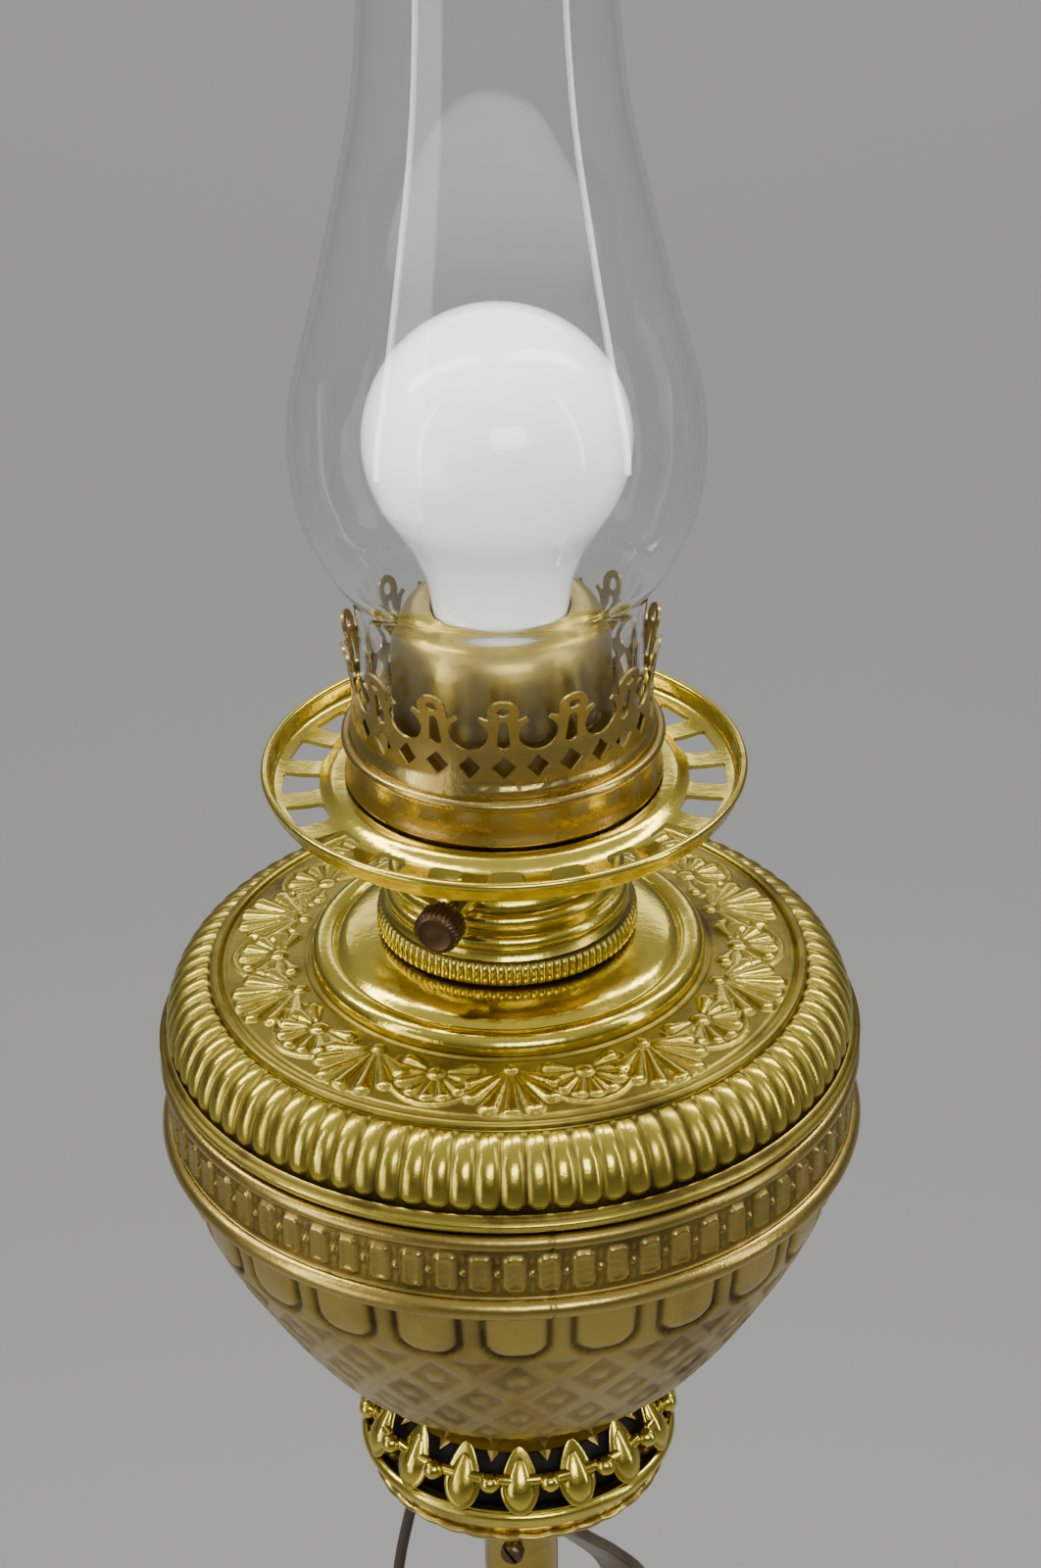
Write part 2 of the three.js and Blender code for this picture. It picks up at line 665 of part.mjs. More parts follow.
function makeChimney() {
  const c = BULB_CENTRE_Z;
  const outer = [
    [26, CHIMNEY_TOP_Z],
    [26.4, c + 122],
    [29.4, c + 80],
    [35.4, c + 48],
    [42.6, c + 22],
    [46.4, c + 1],
    [44.6, c - 14],
    [37.4, c - 30],
    [CHIMNEY_FITTER_R, c - 42],
    [CHIMNEY_FITTER_R, CHIMNEY_FOOT_Z],
  ];
  add("chimney", spun(outer, CHIMNEY_GLASS), "glass");
}

// --- Cord ---
// It leaves the bushing, hangs to the floor beside the post and is put away in a coil between two legs.

const COIL = { x: -18, y: 104, mean: 17.5, turnsWide: 3, turnsHigh: 3, tieAt: 90 };
const PLUG = { x: 22, y: 128, turn: 60 };
const CORD_Z = CORD_D / 2 + 0.2; // centre of the cord where it lies on the floor
const COIL_SIDE = COIL.x - COIL.mean - ((COIL.turnsWide + 1) * CORD_D) / 2 - 2 * GAP;

const CORD_ROUTE = [
  [-25.98, 15, PLATE_Z - 1],
  [-26.2, 15.1, PLATE_Z - 14],
  [-28, 16.2, PLATE_Z - 31],
  [-32.6, 19, PLATE_Z - 57],
  [-37, 23, PLATE_Z - 110],
  [-37.5, 28, PLATE_Z - 220],
  [-33, 33, PLATE_Z - 420],
  [-28, 38, PLATE_Z - 620],
  [-24.5, 41, PLATE_Z - 820],
  [-24, 43, 100],
  [-25, 45.5, 40],
  [-27, 49, 16],
  [-31, 55, 5],
  [-35, 63, CORD_Z],
  [COIL_SIDE + 1, 80, CORD_Z],
  [COIL_SIDE, 94, CORD_Z],
  [COIL_SIDE, COIL.y, CORD_Z],
];

function makeCord() {
  const points = CORD_ROUTE.map((p) => new THREE.Vector3(...p));
  const curve = new THREE.CatmullRomCurve3(points, false, "centripetal");
  const section = new THREE.Shape();
  section.absarc(0, 0, CORD_D / 2, 0, Math.PI * 2, false);
  const lead = new THREE.ExtrudeGeometry(section, { steps: 44, extrudePath: curve, curveSegments: 4 });
  add("cord_lead", welded(lead), "cord");
  const half = (COIL.turnsWide * CORD_D) / 2;
  const coil = tube(COIL.mean + half, COIL.mean - half, 0.2, 0.2 + COIL.turnsHigh * CORD_D, 28);
  add("cord_coil", coil.translate(COIL.x, COIL.y, 0), "cord");
  const high = COIL.turnsHigh * CORD_D;
  const over = new THREE.BoxGeometry(2 * half + 4, 6, high + 1.6).translate(COIL.mean, 0, high / 2 + 0.8);
  const room = new THREE.BoxGeometry(2 * half + 2, 8, high + 1).translate(COIL.mean, 0, high / 2);
  const tie = cut(over, room).rotateZ(radians(COIL.tieAt)).translate(COIL.x, COIL.y, 0);
  add("cord_tie", tie, "cord");
  const place = (geometry) => geometry.rotateZ(radians(PLUG.turn)).translate(PLUG.x, PLUG.y, 0);
  const body = new THREE.BoxGeometry(30, 22, 16).translate(0, 0, 8.3);
  add("plug_body", place(welded(body)), "cord");
  for (const side of [-1, 1]) {
    const blade = new THREE.BoxGeometry(16, 1.5, 6.3).translate(15 + GAP + 8, side * 6.35, 8.3);
    add(`plug_blade_${side < 0 ? "left" : "right"}`, place(welded(blade)), "brass");
  }
}

makeLegs();
makeHub();
makePost();
makeHandle();
makeStemHead();
makeKnop();
makeLeafWasher();
makeUrn();
makeThroughRod();
makeFont();
makeCollar();
makeShadeRing();
makeGallery();
makeSocket();
makeBulb();
makeKey();
makeChimney();
makeCord();

export default lamp;
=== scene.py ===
import logging
import math
from dataclasses import dataclass
from enum import Enum
from typing import Callable, Sequence

import bpy
import numpy as np
from mathutils import Matrix, Vector


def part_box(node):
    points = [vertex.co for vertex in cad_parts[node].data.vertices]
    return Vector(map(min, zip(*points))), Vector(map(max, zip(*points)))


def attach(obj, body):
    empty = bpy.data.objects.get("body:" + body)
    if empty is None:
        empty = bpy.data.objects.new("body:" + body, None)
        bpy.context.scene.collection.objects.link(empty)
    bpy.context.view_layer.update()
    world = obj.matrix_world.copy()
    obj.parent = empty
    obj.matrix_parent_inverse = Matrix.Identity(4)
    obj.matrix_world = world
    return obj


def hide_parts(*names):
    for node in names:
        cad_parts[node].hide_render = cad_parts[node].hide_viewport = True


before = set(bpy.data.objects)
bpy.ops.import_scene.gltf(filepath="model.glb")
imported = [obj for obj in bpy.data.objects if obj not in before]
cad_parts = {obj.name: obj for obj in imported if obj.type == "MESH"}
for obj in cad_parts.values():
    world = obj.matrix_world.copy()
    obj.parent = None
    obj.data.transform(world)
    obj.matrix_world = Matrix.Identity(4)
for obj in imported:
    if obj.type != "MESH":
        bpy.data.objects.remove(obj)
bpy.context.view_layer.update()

log = logging.getLogger("lamp")

MM = 0.001
TAU = 2 * math.pi
BULB_Z = 1300.0  # height of the bulb's centre in mm; profiles of the head are drawn from it
FRONT = -math.pi / 2  # azimuth that faces the viewer

Point = tuple[float, float]
Profile = Sequence[Point]
Height = Callable[[np.ndarray, np.ndarray, np.ndarray], np.ndarray]


class Body(Enum):
    """The rigid bodies of the lamp."""

    STAND = "stand"
    FONT = "font"
    GALLERY = "gallery"
    CHIMNEY = "chimney_glass"
    BULB = "bulb"
    KEY = "key"


# --- Finishes ---


@dataclass(frozen=True)
class Brass:
    """Worn brass with a patina and painted shade that gather in recesses.

    Args:
        name: material name.
        metal: colour of the rubbed metal.
        patina: colour of the dark patina.
        gloss: roughness of the rubbed metal.
        wear: share of the surface that blotches darken.
        grain: strength of the fine bump.
    """

    name: str
    metal: tuple[float, float, float]
    patina: tuple[float, float, float]
    gloss: float = 0.25
    wear: float = 0.4
    grain: float = 0.12

    def material(self) -> bpy.types.Material:
        """Returns the material, made once."""
        if self.name in bpy.data.materials:
            return bpy.data.materials[self.name]
        mat = bpy.data.materials.new(self.name)
        mat.use_nodes = True
        nodes, links = mat.node_tree.nodes, mat.node_tree.links
        shader = nodes["Principled BSDF"]
        shader.inputs["Metallic"].default_value = 1.0
        place = nodes.new("ShaderNodeTexCoord")
        # Per-vertex darkening from emboss: real patina in the hollows of the relief, with painted shade
        # there as well.
        patina_and_shade = nodes.new("ShaderNodeAttribute")
        patina_and_shade.attribute_name = "patina_and_shade"
        blotch = self._noise(nodes, links, place, 38.0, 6.0, 0.62)
        speck = self._noise(nodes, links, place, 420.0, 4.0, 0.6)
        streak = self._noise(nodes, links, place, 130.0, 5.0, 0.7)

        dark = nodes.new("ShaderNodeMapRange")
        dark.inputs["From Min"].default_value = 0.62 - 0.3 * self.wear
        dark.inputs["From Max"].default_value = 0.86
        dark.inputs["To Max"].default_value = 0.75
        links.new(blotch.outputs["Fac"], dark.inputs["Value"])
        fleck = nodes.new("ShaderNodeMapRange")
        fleck.inputs["From Min"].default_value = 0.6
        fleck.inputs["From Max"].default_value = 0.74
        fleck.inputs["To Max"].default_value = 0.4 * self.wear
        links.new(streak.outputs["Fac"], fleck.inputs["Value"])
        both = nodes.new("ShaderNodeMath")
        both.operation = "ADD"
        links.new(dark.outputs["Result"], both.inputs[0])
        links.new(fleck.outputs["Result"], both.inputs[1])
        total = nodes.new("ShaderNodeMath")
        total.operation = "ADD"
        total.use_clamp = True
        links.new(both.outputs[0], total.inputs[0])
        # wear blotches plus the patina and painted shade of the relief's hollows
        links.new(patina_and_shade.outputs["Fac"], total.inputs[1])

        colour = nodes.new("ShaderNodeMix")
        colour.data_type = "RGBA"
        colour.inputs["A"].default_value = (*self.metal, 1)
        colour.inputs["B"].default_value = (*self.patina, 1)
        links.new(total.outputs[0], colour.inputs["Factor"])
        links.new(colour.outputs["Result"], shader.inputs["Base Color"])
        rough = nodes.new("ShaderNodeMapRange")
        rough.inputs["To Min"].default_value = self.gloss
        rough.inputs["To Max"].default_value = min(0.75, self.gloss + 0.35)
        links.new(total.outputs[0], rough.inputs["Value"])
        links.new(rough.outputs["Result"], shader.inputs["Roughness"])
        bump = nodes.new("ShaderNodeBump")
        bump.inputs["Strength"].default_value = self.grain
        bump.inputs["Distance"].default_value = 0.0006
        links.new(speck.outputs["Fac"], bump.inputs["Height"])
        wave = nodes.new("ShaderNodeBump")
        wave.inputs["Strength"].default_value = 0.16
        wave.inputs["Distance"].default_value = 0.0015
        links.new(blotch.outputs["Fac"], wave.inputs["Height"])
        links.new(wave.outputs["Normal"], bump.inputs["Normal"])
        links.new(bump.outputs["Normal"], shader.inputs["Normal"])
        return mat

    @staticmethod
    def _noise(nodes, links, place, scale: float, detail: float, rough: float):
        """Returns a noise node in object coordinates."""
        noise = nodes.new("ShaderNodeTexNoise")
        noise.inputs["Scale"].default_value = scale
        noise.inputs["Detail"].default_value = detail
        noise.inputs["Roughness"].default_value = rough
        links.new(place.outputs["Object"], noise.inputs["Vector"])
        return noise


@dataclass(frozen=True)
class Plain:
    """One even finish.

    Args:
        name: material name.
        colour: base colour.
        rough: roughness.
        transmission: share of light let through.
        ior: index of refraction.
        coat: weight of a clear coat.
        glow: strength of scattering below the surface.
    """

    name: str
    colour: tuple[float, float, float]
    rough: float = 0.5
    transmission: float = 0.0
    ior: float = 1.45
    coat: float = 0.0
    glow: float = 0.0

    def material(self) -> bpy.types.Material:
        """Returns the material, made once."""
        if self.name in bpy.data.materials:
            return bpy.data.materials[self.name]
        mat = bpy.data.materials.new(self.name)
        mat.use_nodes = True
        shader = mat.node_tree.nodes["Principled BSDF"]
        shader.inputs["Base Color"].default_value = (*self.colour, 1)
        shader.inputs["Roughness"].default_value = self.rough
        shader.inputs["Transmission Weight"].default_value = self.transmission
        shader.inputs["IOR"].default_value = self.ior
        shader.inputs["Coat Weight"].default_value = self.coat
        shader.inputs["Coat Roughness"].default_value = 0.03
        shader.inputs["Subsurface Weight"].default_value = self.glow
        shader.inputs["Subsurface Radius"].default_value = (0.01, 0.01, 0.01)
        return mat


BRIGHT = Brass("bright brass", (0.68, 0.545, 0.085), (0.11, 0.076, 0.016), gloss=0.15, wear=0.42)
STAMPED = Brass("stamped brass", (0.62, 0.495, 0.075), (0.085, 0.06, 0.015), gloss=0.17, wear=0.46)
AGED = Brass("aged brass", (0.45, 0.33, 0.082), (0.075, 0.05, 0.017), gloss=0.25, wear=0.52)
RUBBED = Brass("rubbed rim brass", (0.42, 0.31, 0.09), (0.1, 0.064, 0.02), gloss=0.24, wear=0.72)
DARK = Brass("dark bronze", (0.14, 0.095, 0.05), (0.04, 0.028, 0.018), gloss=0.38, wear=0.5)
KNOB = Brass("dark knob", (0.11, 0.065, 0.035), (0.025, 0.016, 0.012), gloss=0.36, wear=0.6)
# Painted shade: a near-black finish for a sheet that stands in for the shade inside the openwork knop.
INSIDE_SHADE = Plain("shadowed inside", (0.012, 0.009, 0.006), 0.85)
GLASS = Plain("chimney glass", (0.975, 0.997, 0.988), 0.0, transmission=1.0, ior=1.48)
OPAL = Plain("soft white glass", (0.9, 0.905, 0.93), 0.1, coat=1.0, glow=0.35)
CORD = Plain("brown cord", (0.045, 0.03, 0.018), 0.5)
MOULDED = Plain("brown moulding", (0.04, 0.026, 0.017), 0.4)
PORCELAIN = Plain("porcelain", (0.7, 0.68, 0.62), 0.25)
FLOOR = Plain("pale floor", (0.385, 0.385, 0.375), 0.9)


# --- Mesh helpers ---


def deselect() -> None:
    """Clears the selection, so that an operator only sees what is made next."""
    bpy.ops.object.select_all(action="DESELECT")


def activate(obj: bpy.types.Object) -> None:
    """Makes obj the only selected and active object."""
    deselect()
    obj.select_set(True)
    bpy.context.view_layer.objects.active = obj


def arc(r: float, z: float, radius: float, start: float, end: float, count: int = 8) -> list[Point]:
    """Returns points on a circle's arc about (r, z), angles in degrees."""
    turn = [math.radians(start + (end - start) * i / (count - 1)) for i in range(count)]
    return [(r + radius * math.cos(a), z + radius * math.sin(a)) for a in turn]


def flowing(points: Sequence[tuple], per: int = 6) -> list[tuple]:
    """Returns a centripetal curve through the points, with `per` steps between each pair."""
    knots = [np.array(p, dtype=float) for p in points]
    knots = [2 * knots[0] - knots[1], *knots, 2 * knots[-1] - knots[-2]]
    out: list[tuple] = []
    for p0, p1, p2, p3 in zip(knots, knots[1:], knots[2:], knots[3:]):
        t1 = math.sqrt(np.linalg.norm(p1 - p0))
        t2 = t1 + math.sqrt(np.linalg.norm(p2 - p1))
        t3 = t2 + math.sqrt(np.linalg.norm(p3 - p2))
        for step in range(per):
            t = t1 + (t2 - t1) * step / per
            a1 = p0 + (p1 - p0) * t / t1
            a2 = p1 + (p2 - p1) * (t - t1) / (t2 - t1)
            a3 = p2 + (p3 - p2) * (t - t2) / (t3 - t2)
            b1 = a1 + (a2 - a1) * t / t2
            b2 = a2 + (a3 - a2) * (t - t1) / (t3 - t1)
            out.append(tuple(float(v) for v in b1 + (b2 - b1) * (t - t1) / (t2 - t1)))
    out.append(tuple(float(v) for v in knots[-2]))
    return out


def inset(outer: Profile, wall: float, keep: int = 3) -> list[Point]:
    """Returns the back of a sheet whose face is `outer`, from its last point to its first, thinned."""
    back: list[Point] = []
    for i, (r, z) in enumerate(outer):
        if i % keep and i != len(outer) - 1:
            continue
        a, b = outer[max(i - 1, 0)], outer[min(i + 1, len(outer) - 1)]
        along = np.array([b[0] - a[0], b[1] - a[1]], dtype=float)
        along /= max(float(np.hypot(*along)), 1e-9)
        back.append((max(r + along[1] * wall, 0.0), z - along[0] * wall))
    return back[::-1]


def turned(name: str, profile: Profile, steps: int = 96, base: float = BULB_Z) -> bpy.types.Object:
    """Spins a closed profile about Z.

    Args:
        name: object name.
        profile: (radius, height) in mm, from `base`; it ends on the axis or closes on itself.
        steps: steps around.
        base: height in mm that the profile is drawn from.

    Returns:
        The new object, at the origin.
    """
    verts = [(r * MM, 0.0, (z + base) * MM) for r, z in profile]
    edges = [(i, i + 1) for i in range(len(verts) - 1)]
    if profile[0][0] > 1e-6 or profile[-1][0] > 1e-6:
        edges.append((len(verts) - 1, 0))
    mesh = bpy.data.meshes.new(name)
    mesh.from_pydata(verts, edges, [])
    obj = bpy.data.objects.new(name, mesh)
    bpy.context.collection.objects.link(obj)
    activate(obj)
    bpy.ops.object.mode_set(mode="EDIT")
    bpy.ops.mesh.select_all(action="SELECT")
    bpy.ops.mesh.spin(steps=steps, angle=TAU, center=(0, 0, 0), axis=(0, 0, 1))
    bpy.ops.mesh.select_all(action="SELECT")
    bpy.ops.mesh.remove_doubles(threshold=2e-6)
    bpy.ops.mesh.normals_make_consistent(inside=False)
    bpy.ops.object.mode_set(mode="OBJECT")
    soften(obj)
    return obj


def soften(obj: bpy.types.Object, angle: float = 38) -> None:
    """Shades smooth, with sharp edges above the angle in degrees."""
    activate(obj)
    bpy.ops.object.shade_smooth_by_angle(angle=math.radians(angle))


def emboss(obj: bpy.types.Object, height: Height, full: float, middle: float, dark: float = 0.8) -> None:
    """Presses a relief into the outside of a turned sheet, and marks its recesses for the patina and for
    painted shade.

    Args:
        obj: the turned sheet.
        height: relief in mm as a function of azimuth, radius and height from the bulb's centre.
        full: height in mm at which neither patina nor painted shade is left.
        middle: height of a point inside the sheet, which tells the outside from the back.
        dark: patina and painted shade at the deepest point of the relief.
    """
    mesh = obj.data
    count = len(mesh.vertices)
    where = np.empty(count * 3)
    mesh.vertices.foreach_get("co", where)
    where = where.reshape(-1, 3)
    normal = np.empty(count * 3)
    mesh.vertex_normals.foreach_get("vector", normal)
    normal = normal.reshape(-1, 3)
    turn = np.arctan2(where[:, 1], where[:, 0])
    radius = np.hypot(where[:, 0], where[:, 1]) / MM
    level = where[:, 2] / MM - BULB_Z
    outside = (normal * (where - np.array([0, 0, (BULB_Z + middle) * MM]))).sum(axis=1) > 0
    lift = np.where(outside, height(turn, radius, level), 0.0)
    mesh.vertices.foreach_set("co", (where + normal * (lift * MM)[:, None]).ravel())
    # Patina with painted shade: the lower the relief, the darker; the back of the sheet gets a flat 0.2.
    patina_and_shade = mesh.attributes.new("patina_and_shade", "FLOAT", "POINT")
    shade = np.where(outside, np.clip(1 - lift / full, 0, 1) ** 1.4 * dark, 0.2)
    patina_and_shade.data.foreach_set("value", shade.astype(np.float32))
    mesh.update()


def dome(distance: np.ndarray, radius: float | np.ndarray) -> np.ndarray:
    """Returns a rounded bump, 1 at its centre and 0 at `radius`."""
    return np.sqrt(np.clip(1 - (distance / radius) ** 2, 0, 1))


def petal(x: np.ndarray, y: np.ndarray, angle: float, near: float, far: float, thin: float, fat: float):
    """Returns the bump of a tapered petal that points `angle` radians from +Y, out from (0, 0)."""
    ux, uy = math.sin(angle), math.cos(angle)
    along = np.clip((x * ux + y * uy - near) / (far - near), 0, 1)
    cx, cy = (near + along * (far - near)) * ux, (near + along * (far - near)) * uy
    return dome(np.hypot(x - cx, y - cy), thin + along * (fat - thin)) * (0.55 + 0.45 * along)


def panel(x: np.ndarray, y: np.ndarray, half_x: float, half_y: float, corner: float) -> np.ndarray:
    """Returns the distance from a rounded rectangle, negative inside it."""
    dx, dy = np.abs(x) - half_x + corner, np.abs(y) - half_y + corner
    outer = np.hypot(np.maximum(dx, 0), np.maximum(dy, 0))
    return outer + np.minimum(np.maximum(dx, dy), 0) - corner


def plateau(distance: np.ndarray, edge: float) -> np.ndarray:
    """Returns 1 well inside a shape and 0 outside, with a rounded shoulder `edge` wide."""
    t = np.clip(-distance / edge, 0, 1)
    return np.sqrt(1 - (1 - t) ** 2)


def repeat(turn: np.ndarray, count: int, shift: float = 0.0) -> np.ndarray:
    """Returns the angle from the nearest of `count` centres, the first facing the viewer."""
    step = TAU / count
    return (turn - FRONT - shift * step + step / 2) % step - step / 2


def joined(name: str, objs: Sequence[bpy.types.Object]) -> bpy.types.Object:
    """Joins objects into one, at the origin."""
    deselect()
    for obj in objs:
        obj.select_set(True)
    bpy.context.view_layer.objects.active = objs[0]
    if len(objs) > 1:
        bpy.ops.object.join()
    objs[0].name = name
    bpy.ops.object.transform_apply(location=True, rotation=True, scale=True)
    return objs[0]


def turn_to(obj: bpy.types.Object, azimuth: float) -> bpy.types.Object:
    """Turns a piece that was built about +X to an azimuth in radians, and applies it."""
    obj.data.transform(Matrix.Rotation(azimuth, 4, "Z"))
    return obj


def dress(
    obj: bpy.types.Object, finish: Brass | Plain, body: Body, nodes: Sequence[str] = ()
) -> bpy.types.Object:
    """Gives a piece its finish, its body and the CAD nodes that it stands for."""
    obj.data.materials.clear()
    obj.data.materials.append(finish.material())
    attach(obj, body.value)
    if nodes:
        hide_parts(*nodes)
    log.info("%s on %s: %d vertices", obj.name, body.value, len(getattr(obj.data, "vertices", ())))
    return obj


def refinish(node: str, finish: Brass | Plain) -> None:
    """Gives a CAD node that stays shown a finish."""
    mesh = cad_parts[node].data
    mesh.materials.clear()
    mesh.materials.append(finish.material())


def level(node: str, top: bool = True) -> float:
    """Returns the height in mm of a CAD node's top or foot, from the bulb's centre."""
    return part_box(node)[1 if top else 0].z / MM - BULB_Z


def round_piece(name: str, points: Profile, steps: int = 64, base: float = BULB_Z) -> bpy.types.Object:
    """Returns a turned piece whose profile flows through the points and ends on the axis."""
    return turned(name, flowing(points, 5), steps, base)


# --- Stage and camera ---


@dataclass(frozen=True)
class Studio:
    """The floor, the lights and the camera.

    Args:
        distance: from the lamp's axis to the camera, in mm.
        rise: height of the camera above the bulb's centre, in mm.
        pitch: angle that the camera looks down, in degrees.
        yaw: turn of the camera to the right, in degrees.
        roll: clockwise roll, in degrees.
        lens: focal length in mm.
    """

    distance: float = 784.6
    rise: float = 365.1
    pitch: float = 30.0
    yaw: float = 0.27
    roll: float = 1.12
    lens: float = 90.0

    def camera(self) -> None:
        """Places the camera in front of the lamp's head, looking down."""
        data = bpy.data.cameras.new("camera")
        data.lens = self.lens
        data.sensor_width = 36.0
        data.clip_start = 0.05
        data.clip_end = 60.0
        obj = bpy.data.objects.new("camera", data)
        bpy.context.scene.collection.objects.link(obj)
        aim = Matrix.Rotation(math.radians(-self.yaw), 4, "Z")
        aim = aim @ Matrix.Rotation(math.radians(90 - self.pitch), 4, "X")
        aim = aim @ Matrix.Rotation(math.radians(-self.roll), 4, "Z")
        place = Matrix.Translation((0, -self.distance * MM, (BULB_Z + self.rise) * MM))
        obj.matrix_world = place @ aim
        bpy.context.scene.camera = obj

    def floor(self) -> None:
        """Lays the pale floor."""
        deselect()
        bpy.ops.mesh.primitive_plane_add(size=30, location=(0, 0, -0.0002))
        floor = bpy.context.active_object
        floor.name = "floor"
        floor.data.materials.append(FLOOR.material())

    def light(self, name: str, place: tuple, aim: tuple, size: tuple, power: float, tint: tuple) -> None:
        """Adds one soft box."""
        data = bpy.data.lights.new(name, "AREA")
        data.shape = "RECTANGLE"
        data.size, data.size_y = size
        data.energy = power
        data.color = tint
        obj = bpy.data.objects.new(name, data)
        bpy.context.scene.collection.objects.link(obj)
        obj.location = place
        obj.rotation_euler = (Vector(aim) - Vector(place)).to_track_quat("-Z", "Y").to_euler()

    def build(self) -> None:
        """Adds the world, the floor and the lights."""
        world = bpy.data.worlds.new("room")
        bpy.context.scene.world = world
        world.use_nodes = True
        back = world.node_tree.nodes["Background"]
        back.inputs["Color"].default_value = (1.0, 1.0, 0.985, 1)
        nodes, links = world.node_tree.nodes, world.node_tree.links
        place = nodes.new("ShaderNodeTexCoord")
        axes = nodes.new("ShaderNodeSeparateXYZ")
        links.new(place.outputs["Generated"], axes.inputs[0])
        rise = nodes.new("ShaderNodeMapRange")
        rise.inputs["From Max"].default_value = 0.9
        rise.inputs["To Min"].default_value = 0.1
        rise.inputs["To Max"].default_value = 0.6
        links.new(axes.outputs["Z"], rise.inputs["Value"])
        links.new(rise.outputs["Result"], back.inputs["Strength"])
        self.floor()
        head = (0, 0, BULB_Z * MM)
        self.light("ceiling left", (-0.75, 0.2, 2.35), head, (0.22, 1.35), 17, (1, 0.98, 0.94))
        self.light("ceiling right", (0.62, 0.35, 2.35), head, (0.22, 1.35), 14, (1, 0.98, 0.95))
        self.light("window", (0.35, -1.8, 2.15), head, (1.1, 0.6), 20, (0.95, 0.98, 1))
        self.light("low fill", (-1.6, -1.2, 1.0), (0, 0, 1.1), (0.9, 1.2), 8, (1, 0.98, 0.94))
        self.light("strip left", (-1.15, -0.5, 1.6), head, (0.07, 1.3), 5, (1, 1, 1))
        self.light("strip right", (1.1, -0.35, 1.6), head, (0.07, 1.3), 5, (1, 1, 1))
        self.light("back wash", (0, 4.8, 3.2), (0, 4.4, 0), (5, 2), 60, (1, 0.99, 0.96))


# --- Glass and bulb ---


@dataclass(frozen=True)
class Chimney:
    """The clear glass chimney.

    Args:
        wall: thickness of the glass in mm.
        steps: steps around.
    """

    wall: float = 1.7
    steps: int = 144

    def build(self) -> None:
        """Spins the glass and hands it over."""
        top, foot = level("chimney"), level("chimney", top=False)
        line = [(26, top - 0.8), (26.3, 122), (29.3, 80), (34.2, 56), (40.4, 30), (45.2, 12), (46.3, -1)]
        line += [(44.9, -14), (39.9, -26.5), (34.2, -35.5), (32.7, -44), (32.6, foot + 0.8)]
        face = flowing(line, 7)
        back = inset(face, self.wall, keep=1)
        lip = arc(26 - self.wall / 2, top - 0.8, self.wall / 2, 170, 10, 6)
        toe = arc(32.6 - self.wall / 2, foot + 0.8, self.wall / 2, -10, -170, 6)
        obj = turned("chimney-glass", [*lip, *face, *toe, *back], self.steps)
        dress(obj, GLASS, Body.CHIMNEY, ["chimney"])
        obj.visible_shadow = False  # lamps reach the bulb through clear glass


@dataclass(frozen=True)
class Bulb:
    """The soft white bulb.

    Args:
        radius: radius of the round end in mm.
        neck: radius of the neck in mm.
    """

    radius: float = 30.15
    neck: float = 15.4

    def build(self) -> None:
        """Spins the envelope; the cap stays as it is in the CAD, out of sight in the sleeve."""
        crown = arc(0, 0, self.radius, 90, -36, 44)
        crown[0] = (0.0, self.radius)
        edge_r, edge_z = crown[-1]
        throat = [(edge_r, edge_z), (20.6, -24.2), (17.8, -31), (16.2, -37), (self.neck, -42), (12.8, -48.6)]
        foot = [(12.2, -50), (12.1, -57.5), (11.4, -57.5), (11.4, -49), (0, -49)]
        obj = turned("bulb", [*crown, *flowing(throat, 6)[1:], *foot], 96)
        dress(obj, OPAL, Body.BULB, ["bulb_glass"])
        refinish("bulb_cap", RUBBED)


@dataclass(frozen=True)
class Sleeve:
    """The brass sleeve round the bulb's neck and the socket inside it."""

    radius: float = 24.7
    wall: float = 0.9

    def build(self) -> None:
        """Spins the sleeve and gives the socket's parts their finishes."""
        foot = level("socket_cup", top=False)
        r = self.radius
        line = [(16.2, -41.2), (17.0, -40.7), (18.4, -40.6), (20.6, -41.5), (22.8, -43.9), (24.1, -47.4)]
        line += [(r, -52), (r, -62), (r, foot)]
        face = flowing(line, 6)
        obj = turned("bulb-sleeve", [*face, *inset(face, self.wall)], 120)
        emboss(obj, self._dents, 0.6, -65, dark=0.35)
        dress(obj, AGED, Body.FONT, ["socket_cup"])
        refinish("socket_shell", RUBBED)
        refinish("socket_insulator", PORCELAIN)
        refinish("socket_screw_liner", RUBBED)
        refinish("socket_pipe", RUBBED)

    @staticmethod
    def _dents(turn: np.ndarray, radius: np.ndarray, height: np.ndarray) -> np.ndarray:
        """Shallow waves of hand-worked sheet."""
        wave = 0.12 * np.sin(3 * turn + 0.12 * height) + 0.08 * np.sin(7 * turn - 0.2 * height + 1)
        return 0.35 + wave * np.clip((-42 - height) / 6, 0, 1)


# --- Burner ---


